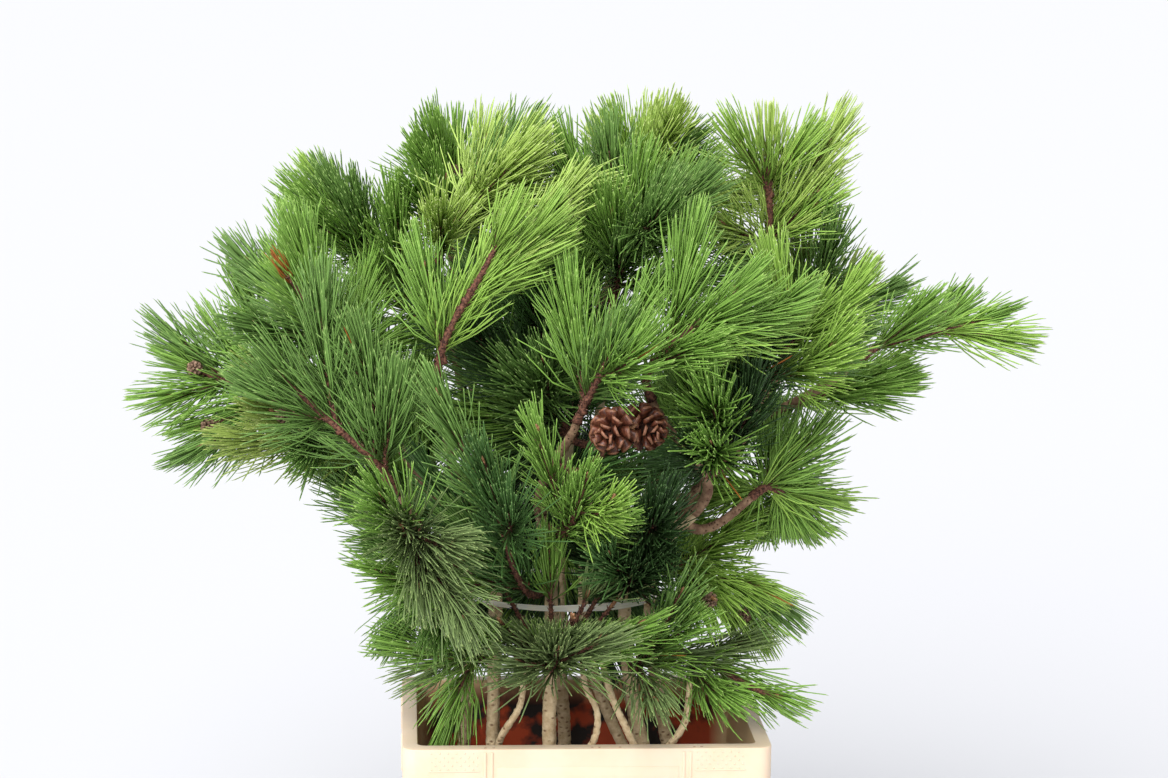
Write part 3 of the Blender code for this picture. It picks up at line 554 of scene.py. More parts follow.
def isFree(start, end, skipped, sizes):
    # true where the rod from start to end stays clear of all rods of other owners
    thick, room = sizes
    others = np.array([rod for owner, rod in rods if owner not in skipped])
    p, d = np.array(start), np.array(end) - np.array(start)
    along, offset = others[:, 3:6] - others[:, 0:3], p - others[:, 0:3]
    a, e = d @ d, np.sum(along * along, axis=1)
    b, c, f = along @ d, offset @ d, np.sum(along * offset, axis=1)
    s = np.clip((b * f - c * e) / np.maximum(a * e - b * b, 1e-12), 0, 1)
    t = np.clip((b * s + f) / e, 0, 1)
    s = np.clip((b * t - c) / a, 0, 1)
    apart = np.linalg.norm(offset + s[:, None] * d - t[:, None] * along, axis=1)
    their = others[:, 6] + (others[:, 7] - others[:, 6]) * t
    return bool(np.all(apart > thick + their + room))


limbs, limbCourses = {}, {}         # coarse path and radii of each stem and bough
for name, (foot, waist, fork, radii) in stems.items():
    points = stemPath(foot, waist, fork, metres(radii), (4, 3))
    limbs[name] = (points, taper(points, metres(radii)))
for name, (carrier, share, end, radii) in boughs.items():
    limbCourses[name] = courseFrom(limbs[carrier], share, vectorOf(end), "bough")
    points = stepped(limbCourses[name], even(5))
    limbs[name] = (points, taper(points, metres(radii)))
for name, (points, radii) in limbs.items():
    addRods(points, radii, name)
for angle in range(0, 360, 10):
    ends = [bandPoint(turn) + up * ruleSizes["bandZ"] for turn in (angle, angle + 10)]
    addRods(ends, (ruleSizes["bandRoom"],) * 2, "elastic_band")

twigCourses, coneSpots = {}, []
for name, (carrier, share, tip, *_) in masses.items():
    twigCourses[name] = [courseFrom(limbs[carrier], share, vectorOf(tip), "twig")]
    main = stepped(twigCourses[name][0], twigShares(0))
    addRods(main, taper(main, ruleSizes["mainRadii"]), (name, 0))
    if name == "cone_twig":
        coneWide, coneLong = ruleSizes["coneSize"]
        for x, y in ruleSizes["cones"]:
            middle = main[-1] + Vector((x, y, 0))
            axis = Vector((x * 30, -0.8, -0.1)).normalized()
            coneSpots.append((middle, axis))
            half = axis * (coneLong - coneWide / 2)
            addRods((middle - half, middle + half), (coneWide, coneWide), (name, "cones"))
for number, (name, (_, _, _, count, _, _, _, buds)) in enumerate(masses.items()):
    rng = random.Random(100 + number)
    main = stepped(twigCourses[name][0], twigShares(0))
    for course in [courseToBud(main, vectorOf(bud), 1) for bud in buds] + furtherCourses(main, count, rng):
        path = stepped(course, twigShares(1))
        own = {(name, shoot) for shoot in range(len(twigCourses[name]))}
        if all(not meetsCrate(*step) and isFree(*step, own, ruleSizes["twigRoom"])
               for step in zip(path[1:], path[2:])):
            addRods(path, taper(path, ruleSizes["sideRadii"]), (name, len(twigCourses[name])))
            twigCourses[name].append(course)
print("branches laid out:", sum(len(found) for found in twigCourses.values()), "twigs")


# Tubes with bark relief

def framesAlong(points):
    # tangent and two directions across it at each point, carried along without twist
    tangents = [(points[min(i + 1, len(points) - 1)] - points[max(i - 1, 0)]).normalized()
                for i in range(len(points))]
    first = tangents[0].orthogonal().normalized()
    firsts, seconds = [], []
    for tangent in tangents:
        first = (first - tangent * first.dot(tangent)).normalized()
        firsts.append(first)
        seconds.append(tangent.cross(first))
    return tangents, firsts, seconds


def distancesAlong(points):
    total, found = 0.0, [0.0]
    for i in range(1, len(points)):
        total += (points[i] - points[i - 1]).length
        found.append(total)
    return found


def barkTube(points, radii, sides, relief):
    # a grid rolled round the path; relief gives the height of the bark at a distance and an angle
    bm = bmesh.new()
    layer = bm.loops.layers.uv.new("bark")
    rings = len(points)
    bmesh.ops.create_grid(bm, x_segments=rings - 1, y_segments=sides, size=1.0)
    lowX, highX = min(v.co.x for v in bm.verts), max(v.co.x for v in bm.verts)
    lowY, highY = min(v.co.y for v in bm.verts), max(v.co.y for v in bm.verts)
    tangents, firsts, seconds = framesAlong(points)
    distances = distancesAlong(points)
    girth = 2 * math.pi * sum(radii) / len(radii)
    spots = {}
    for v in bm.verts:
        i = round((v.co.x - lowX) / (highX - lowX) * (rings - 1))
        j = round((v.co.y - lowY) / (highY - lowY) * sides)
        spots[v] = (i, j)
    for face in bm.faces:
        for loop in face.loops:
            i, j = spots[loop.vert]
            loop[layer].uv = (girth * j / sides, distances[i])
    for v, (i, j) in spots.items():
        angle = 2 * math.pi * (j % sides) / sides
        radius = radii[i] + relief(distances[i], angle, radii[i])
        v.co = points[i] + (firsts[i] * math.cos(angle) + seconds[i] * math.sin(angle)) * radius
    bmesh.ops.remove_doubles(bm, verts=bm.verts, dist=0.000001)
    bmesh.ops.holes_fill(bm, edges=[e for e in bm.edges if e.is_boundary], sides=0)
    bmesh.ops.recalc_face_normals(bm, faces=bm.faces)
    return bm


def crooked(points, amount, seed):
    # small bends that real wood has; the ends stay where they are
    last = len(points) - 1
    found = []
    for i, point in enumerate(points):
        hold = min(1.0, 4 * i / last, 4 * (last - i) / last)
        sway = noise.noise_vector(point * 22 + Vector((seed, 0, 0)))
        found.append(point + Vector((sway.x, sway.y, 0)) * amount * hold)
    return found


limbLooks = {
    "spacing": 0.0028,         # between rings
    "sides": (20, 14),         # stems, boughs
    "cushion": (0.0065, 0.0075),    # width and height of the raised cushions under old needles
    "height": (0.0006, 0.0008),     # how far they stand out, on stems and boughs
    "crook": 0.0012,
    "flare": 0.30,             # a limb is thicker by this share where it leaves its carrier
    "flareLength": 0.014,
}


def roughness(distance, angle, around, along, seed):
    # noise that follows the bark and closes round the limb
    return noise.noise(Vector((math.cos(angle) * around, math.sin(angle) * around, distance * along + seed)))


def limbRelief(kind, seed):
    across, along = limbLooks["cushion"]
    height = limbLooks["height"][kind]

    def relief(distance, angle, radius):
        columns = max(4, round(2 * math.pi * radius / across))
        u, v = columns * angle / (2 * math.pi), distance / along
        cell = math.cos(math.pi * (u + v)) * math.cos(math.pi * (u - v))
        return height * (0.7 * cell + 1.1 * roughness(distance, angle, 2, 260, seed))
    return relief


def resampled(points, spacing):
    # the same line with even steps
    distances = distancesAlong(points)
    count = max(4, round(distances[-1] / spacing))
    found, step = [], 0
    for i in range(count + 1):
        goal = distances[-1] * i / count
        while step < len(points) - 2 and distances[step + 1] < goal:
            step += 1
        span = distances[step + 1] - distances[step]
        found.append(points[step].lerp(points[step + 1], (goal - distances[step]) / span))
    return found


def flared(radii, distances, looks, kind=1):
    # thicker near the start; a stem, of kind 0, isn't
    return [radius * (1 + looks["flare"] * max(0.0, 1 - distance / looks["flareLength"]) * kind)
            for radius, distance in zip(radii, distances)]


def makeLimbs():
    for number, name in enumerate(limbs):
        if name in stems:
            foot, waist, fork, radii = stems[name]
            radii = metres(radii)
            line = stemPath(foot, waist, fork, radii, (60, 40))
            kind, surface = 0, oldBark
        else:
            radii = metres(boughs[name][3])
            course = limbCourses[name]
            line = [course["start"] - course["heading"] * radii[0]] + stepped(course, even(60))
            kind, surface = 1, boughBark
        points = crooked(resampled(line, limbLooks["spacing"]), limbLooks["crook"], number * 3.7)
        thick = flared(taper(points, radii), distancesAlong(points), limbLooks, kind)
        bm = barkTube(points, thick, limbLooks["sides"][kind], limbRelief(kind, number * 11.3))
        addPiece(name + "_bark", meshFrom(name + "_bark", bm), [surface], [name])


# thin bent forks between the stems in the crate: carrier, share of its length, places that they
# pass, radius at both ends; mm
lowForks = (
    ("stem_front", 0.36, ((-14, -106, 270), (7, -108, 300), (10, -106, 328), (-2, -100, 354),
                          (-6, -96, 396)), (4.6, 2.8)),
    ("stem_front_left", 0.44, ((-82, -92, 300), (-64, -100, 335), (-62, -102, 372)), (4.0, 2.6)),
    ("stem_front_right", 0.26, ((60, -100, 262), (40, -102, 308), (20, -98, 352), (12, -90, 402)),
     (5.0, 3.2)),
    ("stem_front_right", 0.40, ((80, -102, 292), (96, -106, 318), (100, -104, 358)), (4.2, 2.6)),
)


def makeLowForks():
    forks = []
    for number, (carrier, share, places, radii) in enumerate(lowForks):
        radii = metres(radii)
        start, heading = leave(limbs[carrier], share, vectorOf(places[0]))
        points = [start - heading * radii[0]] + [vectorOf(spot) for spot in places]
        tangents = framesAlong(points)[0]
        line = points[:1]
        for i in range(len(places)):
            line += smoothPath(points[i], tangents[i], points[i + 1], tangents[i + 1], even(12))[1:]
        points = crooked(resampled(line, limbLooks["spacing"]), limbLooks["crook"] * 2, 40 + number)
        forks.append(barkTube(points, taper(points, radii), 12, limbRelief(1, number * 5.9)))
    joined("low_forks_bark", forks, oldBark)


makeLimbs()
makeLowForks()
print("limbs made")


# Crate

crateLooks = {
    "corner": 0.010,
    "skirt": 0.036,
    "edge": 0.0009,               # rounding of the moulded edges
    "ribs": (-0.096, 0.096),
    "ribWidth": 0.0026,           # a rib is a pair of thin ridges
    "ribPair": 0.0032,            # half the distance between them
    "ribHeight": 0.0012,
    "field": 0.0006,              # how far the fields between the ribs stand out
    "dot": (0.0012, 0.00054, 0.0012),    # grip dots: radius below and above, height
    "dotPitch": 0.008, "dotRows": 5, "dotsBelow": 0.004,
    "line": (0.0012, 0.0014),     # thickness and height of the line under the dots
    "lineBelow": 0.022,
    "dotFields": ((-0.151, -0.106), (0.106, 0.151)),
    "panel": (0.088, 0.282),      # half width and top of the raised field between the ribs
    "marks": (-0.099, -0.091, 0.004, 0.011, 0.031, 0.103, 0.110),    # mould marks on the front rim
    "mark": (0.0013, 0.0011, 0.0004),
    "markIn": 0.005,
}


def bevelled(bm, edges, width, segments):
    return bmesh.ops.bevel(bm, geom=edges, offset=width, segments=segments, profile=0.5,
                           affect="EDGES", material=-1)["verts"]


def addCone(bm, sides, low, high, depth):
    return bmesh.ops.create_cone(bm, cap_ends=True, segments=sides, radius1=low, radius2=high,
                                 depth=depth)["verts"]


def moulded(piece, wall, offset, edge, segments, angle):
    # a sheet gets its thickness and rounded edges
    shell = piece.modifiers.new("wall", "SOLIDIFY")
    shell.thickness, shell.offset = wall, offset
    rounding = piece.modifiers.new("moulded edges", "BEVEL")
    rounding.width, rounding.segments = edge, segments
    rounding.limit_method, rounding.angle_limit = "ANGLE", math.radians(angle)
    return shell


def addBlock(bm, size, place, turn, bevel):
    verts = bmesh.ops.create_cube(bm, size=1.0)["verts"]
    bmesh.ops.scale(bm, vec=size, verts=verts)
    verts = bevelled(bm, list({e for v in verts for e in v.link_edges}), bevel, 2)
    bmesh.ops.transform(bm, matrix=Matrix.Translation(place) @ turn, verts=verts)


def makeCrate():
    wall, height = ruleSizes["wall"], ruleSizes["crateHeight"]
    rimX, rimY = ruleSizes["rimSize"]
    underX, underY = rimX - 2 * ruleSizes["rimWidth"], rimY - 2 * ruleSizes["rimWidth"]
    top, narrow = height - wall, ruleSizes["crateTaper"]
    bm = bmesh.new()
    bmesh.ops.create_cube(bm, size=1.0)
    bmesh.ops.scale(bm, vec=(underX, underY, top), verts=bm.verts)
    bmesh.ops.translate(bm, vec=(0, 0, top / 2), verts=bm.verts)
    bmesh.ops.scale(bm, vec=(narrow, narrow, 1), verts=[v for v in bm.verts if v.co.z < top / 2])
    upright = [e for e in bm.edges if abs(e.verts[0].co.z - e.verts[1].co.z) > top / 2]
    bevelled(bm, upright, crateLooks["corner"], 8)
    bmesh.ops.delete(bm, geom=[f for f in bm.faces if f.normal.z > 0.9], context="FACES_ONLY")
    tub = set(bm.faces)
    outwards = ((rimX - 2 * wall) / underX, (rimY - 2 * wall) / underY, 1)
    for grow, drop in ((outwards, 0.0), ((1, 1, 1), crateLooks["skirt"])):
        ring = made(bmesh.ops.extrude_edge_only(bm, edges=[e for e in bm.edges if e.is_boundary]))
        bmesh.ops.scale(bm, vec=grow, verts=ring)
        bmesh.ops.translate(bm, vec=(0, 0, -drop), verts=ring)
    for face in bm.faces:
        face.material_index = 0 if face in tub else 2     # the shell's other side takes the next one
    # the inside of the tub takes the material with painted glow and painted shade
    piece = addPiece("crate_shell", meshFrom("crate_shell", bm),
                     [plastic, paintedGlowShadePlastic, plastic, plastic], ["crate"])
    shell = moulded(piece, wall, -1.0, crateLooks["edge"], 3, 40)
    shell.use_even_offset, shell.material_offset = True, 1

    # ribs, fields and grip dots stand on the skirt; ribs go on down the wall, which leans inwards
    details = bmesh.new()
    skirtLow = height - wall - crateLooks["skirt"]
    ribSize = crateLooks["ribWidth"], 2 * crateLooks["ribHeight"]
    upright = Matrix.Rotation(math.pi / 2, 4, "X")
    panelHalf, panelTop = crateLooks["panel"]
    pitch = crateLooks["dotPitch"]
    for axis in ("Y", "X"):
        rimHalf, underHalf = (rimY / 2, underY / 2) if axis == "Y" else (rimX / 2, underX / 2)
        share = 1.0 if axis == "Y" else rimY / rimX
        lean = math.atan((1 - narrow) * underHalf / top)
        for side in (-1, 1):
            spin = Matrix.Rotation(math.pi / 2 * (side + 1 if axis == "Y" else side), 4, "Z")
            below = spin @ Matrix.Rotation(lean, 4, "X")

            def onSkirt(x, z):
                return spin @ Vector((x, -rimHalf, z))

            def onWall(x, z):
                return spin @ Vector((x, -underHalf * mix(narrow, 1, z / top), z))

            for rib in crateLooks["ribs"]:
                for pair in (-1, 1):
                    x = rib * share + pair * crateLooks["ribPair"]
                    for low, high, ground, turn in ((skirtLow + 0.001, height - 0.003, onSkirt, spin),
                                                    (0.014, skirtLow - 0.003, onWall, below)):
                        addBlock(details, (*ribSize, high - low), ground(x, (low + high) / 2), turn, 0.0007)
            low = skirtLow + 0.002
            addBlock(details, (2 * panelHalf * share, 2 * crateLooks["field"], panelTop - low),
                     onSkirt(0, (low + panelTop) / 2), spin, 0.0004)
            for left, right in crateLooks["dotFields"]:
                for row in range(crateLooks["dotRows"]):
                    z = height - crateLooks["dotsBelow"] - row * pitch / 2
                    x = left * share + (row % 2) * pitch / 2
                    while x < right * share:
                        stand = Matrix.Translation(onSkirt(x, z)) @ spin @ upright
                        dot = addCone(details, 10, *crateLooks["dot"])
                        bmesh.ops.transform(details, matrix=stand, verts=dot)
                        x += pitch
                size = ((right - left) * share + 0.004, *crateLooks["line"])
                place = onSkirt((left + right) / 2 * share, height - crateLooks["lineBelow"])
                addBlock(details, size, place, spin, 0.0004)
    addPiece("crate_ribs", meshFrom("crate_ribs", details), [plastic])

    marks = bmesh.new()
    for x in crateLooks["marks"]:
        for side in (-1, 1):
            spot = addCone(marks, 12, *crateLooks["mark"])
            bmesh.ops.scale(marks, vec=(1.2, 0.7, 1), verts=spot)
            place = (x * -side, side * (rimY / 2 - crateLooks["markIn"]), height - 0.00005)
            bmesh.ops.translate(marks, vec=place, verts=spot)
    addPiece("crate_mould_marks", meshFrom("crate_mould_marks", marks), [stain])


makeCrate()
print("crate made")


# Band

bandLooks = {
    "width": (0.0045, 0.0085),      # at the left and at the right
    "thickness": 0.0012,
    "sides": 144,
    "wave": 0.0007,                 # how far its edges wander
    "edge": 0.0004,
}


def makeBand():
    bm = bmesh.new()
    center = Vector((*ruleSizes["bandCenter"], 0))
    radii = ruleSizes["bandRadii"]
    bmesh.ops.create_circle(bm, segments=bandLooks["sides"], radius=1.0)
    bmesh.ops.scale(bm, vec=(*radii, 1), verts=bm.verts)
    bmesh.ops.translate(bm, vec=(*center.xy, ruleSizes["bandZ"]), verts=bm.verts)
    layer = bm.loops.layers.uv.new("along")
    rows = [bm.verts[:]]
    for _ in range(4):
        edges = [e for e in bm.edges if e.verts[0] in rows[-1] and e.verts[1] in rows[-1]]
        rows.append(made(bmesh.ops.extrude_edge_only(bm, edges=edges)))
    for row, ring in enumerate(rows):
        for v in ring:
            rightward = (1 + (v.co.x - center.x) / radii[0]) / 2
            width = mix(*bandLooks["width"], rightward)
            sway = noise.noise(Vector((v.co.x * 30, v.co.y * 30, 3 + 0.4 * row)))
            v.co.z += width * (row / 4 - 0.5) + bandLooks["wave"] * sway
    for face in bm.faces:
        for loop in face.loops:
            away = loop.vert.co - center
            angle = math.atan2(away.y / radii[1], away.x / radii[0])
            loop[layer].uv = (angle * radii[0], loop.vert.co.z)
    bmesh.ops.recalc_face_normals(bm, faces=bm.faces)
    bm.faces.ensure_lookup_table()
    middle = bm.faces[0].calc_center_median() - center
    if bm.faces[0].normal.dot(Vector((middle.x, middle.y, 0))) < 0:
        bmesh.ops.reverse_faces(bm, faces=bm.faces)
    piece = addPiece("rubber_band", meshFrom("rubber_band", bm), [rubber], ["elastic_band"])
    moulded(piece, bandLooks["thickness"], 1.0, bandLooks["edge"], 2, 50)


makeBand()
print("band made")


# Shoots: the source's twigs, and finer ones that leave them within the same reach

shootLooks = {
    "spacing": 0.003,
    "finerForks": (0.34, 0.84),       # shares of the twig between which they leave it
    "finerSpread": (42, 26, 10),      # degrees off the twig: leaving it, over all, at the tip
    "finerReach": (0.055, 0.085),
    "radius": ((0.0040, 0.0026), (0.0032, 0.0022), (0.0024, 0.0018)),
    "bare": (0.22, 0.16, 0.12),       # share without needles
    "sides": (9, 8, 6),
    "rough": 0.00070,                 # height of the peeling bark
    "crook": 0.0008,
    "flare": 0.35,                    # a shoot is thicker by this share where it starts
    "flareLength": 0.010,
    "buried": 0.005,                  # length of its foot inside the carrier
    "tipRoom": 0.035,                 # between its tip and the box of the solids
}


# places in mm that a finer shoot of the mass grows to
extraTips = {
    "right_hanging": ((150, -50, 505), (182, -50, 424)),
    "waist_front": ((-85, -150, 430), (45, -160, 430), (-5, -150, 455), (-40, -140, 492), (25, -140, 486),
        (-90, -120, 470), (20, -130, 440)),
    "low_right": ((95, -140, 430), (98, -80, 378)),
    "low_left_front": ((-125, -120, 425), (-150, -60, 362)),
    "back_low": ((-85, 85, 432), (-45, 70, 402), (0, 60, 440), (45, 70, 405), (85, 80, 435),
        (60, 60, 470), (-60, 60, 470), (-107, 60, 505), (-45, 50, 535), (70, 50, 545), (100, 40, 482),
        (-105, 80, 385), (20, 85, 395), (75, 95, 395), (-50, 95, 395), (-110, 80, 440), (112, 85, 450),
        (-105, 75, 347), (25, 80, 350), (85, 85, 350), (-45, 85, 347)),
    "center_low": ((20, -60, 455), (75, -60, 420), (-20, -90, 500), (45, -100, 500)),
    "right_mid": ((158, -60, 538), (220, -60, 592), (230, -60, 530), (130, -20, 530), (188, -10, 600)),
    "crate_right": ((150, -60, 385),),
    "top_center": ((40, 80, 868), (100, 70, 862)),
    "center_upper": ((-18, -30, 862), (118, -20, 745)),
    "upper_right": ((138, 0, 792), (228, 30, 806), (212, 30, 868)),
    "top_left": ((-166, 100, 856), (-146, 80, 868), (-165, 60, 815)),
    "left_plume": ((-100, 0, 872), (-68, -20, 872)),
    "far_left": ((-402, 0, 622), (-374, -20, 576), (-398, 30, 670), (-335, 20, 718)),
    "left_low": ((-330, -70, 592),),
    "left_back": ((-186, 50, 800), (-268, 80, 800), (-225, 60, 808), (-248, 80, 813)),
    "left_shoulder": ((-178, -20, 690), (-283, -40, 782), (-225, -10, 715), (-215, 30, 742),
        (-300, 0, 748)),
    "right_back": ((246, 40, 774), (150, 40, 770)),
    "right_arm": ((402, -35, 690), (368, 0, 710)),
    "right_arm_low": ((288, -10, 640), (212, 20, 608), (298, -10, 636)),
    "back_left": ((-150, 110, 562), (-205, 110, 645), (-160, 100, 668)),
    "center_dark": ((-105, -20, 600), (-125, -30, 540), (-80, -20, 525), (10, -40, 640), (-140, -40, 620),
        (-118, 10, 658), (-60, -10, 575), (-105, 20, 768)),
    "left_rosette": ((-152, -150, 572), (-125, -160, 532)),
    "low_left": ((-190, -40, 475), (-216, -30, 528), (-180, -50, 405), (-130, -30, 515),
        (-238, -30, 545)),
    "right_inner": ((120, -50, 600), (85, -40, 560)),
}


def finerCourses(path, count, rng):
    turn = rng.uniform(0, 2 * math.pi)
    found = []
    for i in range(count):
        share = mix(*shootLooks["finerForks"], (i + 0.5) / count) + rng.uniform(-0.05, 0.05)
        found.append(courseAside(path, share, turn + i * goldenAngle, rng.uniform(*shootLooks["finerReach"]),
                                 shootLooks["finerSpread"], "finer", 2))
    return found


def insideBox(point, room):
    return all(cadBox[0][k] + room < point[k] < cadBox[1][k] - room for k in range(3))


shoots = []


def addShoot(mass, number, course):
    line = [course["start"] - course["heading"] * shootLooks["buried"]] + stepped(course, even(40))
    points = crooked(resampled(line, shootLooks["spacing"]), shootLooks["crook"], len(line))
    shoots.append({"mass": mass, "number": number, "side": course["side"], "points": points,
                   "frames": framesAlong(points), "distances": distancesAlong(points)})


for number, (name, (_, _, _, _, counts, *_)) in enumerate(masses.items()):
    rng = random.Random(900 + number)
    last = len(twigCourses[name])          # the number of all finer shoots
    own = {(name, k) for k in range(last)}
    for shoot, course in enumerate(twigCourses[name]):
        addShoot(name, shoot, course)
        for finer in finerCourses(stepped(course, even(12)), counts[course["side"]], rng):
            steps = stepped(finer, even(4))
            if (all(not meetsCrate(*step) for step in zip(steps, steps[1:]))
                    and isFree(steps[1], steps[-1], own, ruleSizes["finerRoom"])
                    and insideBox(finer["tip"], shootLooks["tipRoom"])):
                addShoot(name, last, finer)
    for tip in extraTips.get(name, ()):
        finer = courseToBud(stepped(twigCourses[name][0], twigShares(0)), vectorOf(tip), 2)
        steps = stepped(finer, even(4))
        if isFree(steps[2], steps[-1], {(name, k) for k in range(9)}, ruleSizes["tipRoom"]):
            addShoot(name, last, finer)
        else:
            print("no room for a shoot of", name, "at", tip)
print("shoots:", len(shoots), "length", round(sum(shoot["distances"][-1] for shoot in shoots), 2), "m")


def makeTwigs():
    tubes = []
    for number, shoot in enumerate(shoots):
        side = shoot["side"]
        thick = flared(taper(shoot["points"], shootLooks["radius"][side]), shoot["distances"], shootLooks)

        def relief(distance, angle, radius):
            return shootLooks["rough"] * 1.6 * roughness(distance, angle, 1.6, 420, number * 7.1)

        tubes.append(barkTube(shoot["points"], thick, shootLooks["sides"][side], relief))
    joined("twigs", tubes, twigBark)


makeTwigs()
print("twigs made")


# Small things: one shape of a few faces, copied by arrays and joined

def spindleShape(name, sides, foot, rings, tipSurface=0):
    # a pointed shape one unit long, with a radius at its foot and at a few heights
    bm = bmesh.new()
    bmesh.ops.create_circle(bm, cap_ends=True, segments=sides, radius=foot)
    ring = bm.edges[:]
    for height, radius in rings:
        result = bmesh.ops.extrude_edge_only(bm, edges=ring)
        corners = made(result)
        ring = [e for e in made(result, bmesh.types.BMEdge) if all(v in corners for v in e.verts)]
        wide = radius / corners[0].co.xy.length
        bmesh.ops.scale(bm, vec=(wide, wide, 1), verts=corners)
        bmesh.ops.translate(bm, vec=(0, 0, height - corners[0].co.z), verts=corners)
    corners = made(bmesh.ops.extrude_edge_only(bm, edges=ring))
    bmesh.ops.pointmerge(bm, verts=corners, merge_co=(0, 0, 1))
    bmesh.ops.recalc_face_normals(bm, faces=bm.faces)
    for face in bm.faces:
        if any(v.co.z > 0.99 for v in face.verts):
            face.material_index = tipSurface
    return meshFrom(name, bm)


def flakeShape():
    # a pointed scale of peeling bark, or the dry sheath round the foot of two needles
    bm = bmesh.new()
    addCone(bm, 3, 0.5, 0.0, 1.0)
    bmesh.ops.translate(bm, vec=(0, 0, 0.5), verts=bm.verts)
    return meshFrom("flake shape", bm)


def woodyScaleShape():
    # thin where it leaves the core of the cone, thick and blunt at its end, with a small boss
    bm = bmesh.new()
    bmesh.ops.create_cube(bm, size=1.0)
    bmesh.ops.translate(bm, vec=(0, 0, 0.5), verts=bm.verts)
    foot = [v for v in bm.verts if v.co.z < 0.5]
    head = [v for v in bm.verts if v.co.z > 0.5]
    bmesh.ops.scale(bm, vec=(0.10, 0.45, 1), verts=foot)
    bmesh.ops.scale(bm, vec=(0.28, 1.05, 1), verts=head)
    upper = [v for v in head if v.co.x > 0]
    bmesh.ops.scale(bm, vec=(1, 0.62, 1), verts=upper)
    bmesh.ops.translate(bm, vec=(0, 0, 0.10), verts=upper)
    end = [f for f in bm.faces if all(v in head for v in f.verts)]
    bmesh.ops.inset_region(bm, faces=end, thickness=0.13, depth=0.09, use_even_offset=True)
    for face in bm.faces:
        face.material_index = 1 if all(v.co.z > 0.95 for v in face.verts) else 0
    bmesh.ops.recalc_face_normals(bm, faces=bm.faces)
    return meshFrom("woody scale shape", bm)


def copied(name, shape, rows):
    # one joined mesh with a copy of the shape for each row: origin, direction of its length,
    # direction of its x, length, width, and how far its end bends towards x
    rows = np.array(rows, float)
    corners = np.array([v.co for v in shape.vertices])
    x, y, z = corners.T
    origin, along, aside = rows[:, None, 0:3], rows[:, None, 3:6], rows[:, None, 6:9]
    length, width, bend = rows[:, 9:10], rows[:, 10:11], rows[:, 11:12]
    across = np.cross(along, aside)
    points = (origin + along * (z * length)[..., None] + aside * (x * width + bend * z**2)[..., None]
              + across * (y * width)[..., None])
    count, size = len(rows), len(corners)
    sides = [list(face.vertices) for face in shape.polygons]
    looped = np.concatenate(sides)
    starts = np.cumsum([0] + [len(side) for side in sides])[:-1]
    mesh = bpy.data.meshes.new(name)
    mesh.vertices.add(count * size)
    mesh.vertices.foreach_set("co", points.ravel())
    mesh.loops.add(count * len(looped))
    numbers = np.arange(count)[:, None]
    mesh.loops.foreach_set("vertex_index", (looped + size * numbers).ravel().astype(np.int32))
    mesh.polygons.add(count * len(sides))
    begins = (starts + len(looped) * numbers).ravel()
    mesh.polygons.foreach_set("loop_start", begins.astype(np.int32))
    kinds = np.tile([face.material_index for face in shape.polygons], count)
    mesh.polygons.foreach_set("material_index", kinds.astype(np.int32))
    mesh.update(calc_edges=True)
    mesh.validate()
    return mesh


# Needles

needleLooks = {
    "count": 56000,
    "length": (0.048, 0.067),
    "width": 0.0017,
    "lean": (52, 16),                # degrees off the shoot at its oldest part and at its tip
    "leanSpread": 15,
    "pair": 8,                       # half the angle between the two needles of a pair
    "curl": (0.18, 0.85),            # bend towards the shoot's tip, as a share of the length
    "sag": 0.06,                     # bend downwards
    "drift": 0.07,                   # how far all needles of a shoot lean to one side
    "tiltSpread": 4,                 # degrees between the needles of a pair, the other way
    "shootLength": (0.90, 1.08),     # length of a shoot's needles over those of the others
    "widthSpread": (0.85, 1.15),
    "tipShorter": 0.84,              # length of the youngest needles over the others
    "room": 0.008,                   # how far a needle may stand out of the CAD's box
    "seed": 4200,
    "dead": 0.0007,                  # share of needles that are dead
    "snappedFrom": 0.86, "snappedLength": 0.60,      # dead needles at the torn end: age, length
    "parted": 0.52,                  # needles that face the camera this much leave a shown twig bare
    "shortest": 0.45,                # a needle that has less of its length left is dropped
    "crateRoom": 0.002, "crateWall": 0.022,          # room over and beside the crate's rim
    "mostTriangles": 190000,         # in a piece
}

# body and tip of each green
greens = {
    "pale": ("#B4CF6A", "#CBDF90"),
    "lime": ("#AEC964", "#C3D583"),
    "bright": ("#95BA52", "#AECB6C"),
    "leaf": ("#80A84A", "#9ABB60"),
    "mid": ("#6E9248", "#8AA85C"),
    "blue": ("#729560", "#8DAA74"),
    "olive": ("#8EA34F", "#A8B566"),
    "grey": ("#798E57", "#95A767"),
    "dark": ("#4E723A", "#6A8A4C"),
    # inner: a near-black green for the masses deep in the bunch, painted shade for the dark between their
    # shoots
    "inner": ("#304A24", "#486436"),
    "dead": ("#A5642E", "#8A4A24"),
}


# masses whose needles lie closer to the shoot than the others, and those that hang
leanOf = {
    "front_plume": 0.72, "left_plume": 0.8, "right_plume": 0.78, "right_arm": 0.66, "right_arm_low": 0.75,
    "right_mid_upper": 0.85, "left_shoulder": 0.9, "top_center": 0.9,
}
sagOf = {
    "right_hanging": 0.28, "low_right": 0.12, "left_fan": 0.12,
}

# length of needles over the usual, on masses of younger shoots
lengthOf = {
    "center_rosette": 0.72, "center_low": 0.85, "left_rosette": 0.88,
}

# share of the usual needles on masses that are sparse
densityOf = {
    "low_right": 0.5, "low_left_front": 0.7, "waist_front": 0.7, "center_rosette": 0.75,
    "left_rosette": 0.8, "crate_right": 0.8, "cone_twig": 0.6, "left_fan": 0.85, "right_arm": 0.75,
    "far_left": 0.8, "upper_right": 0.85, "right_arm_low": 0.85,
}

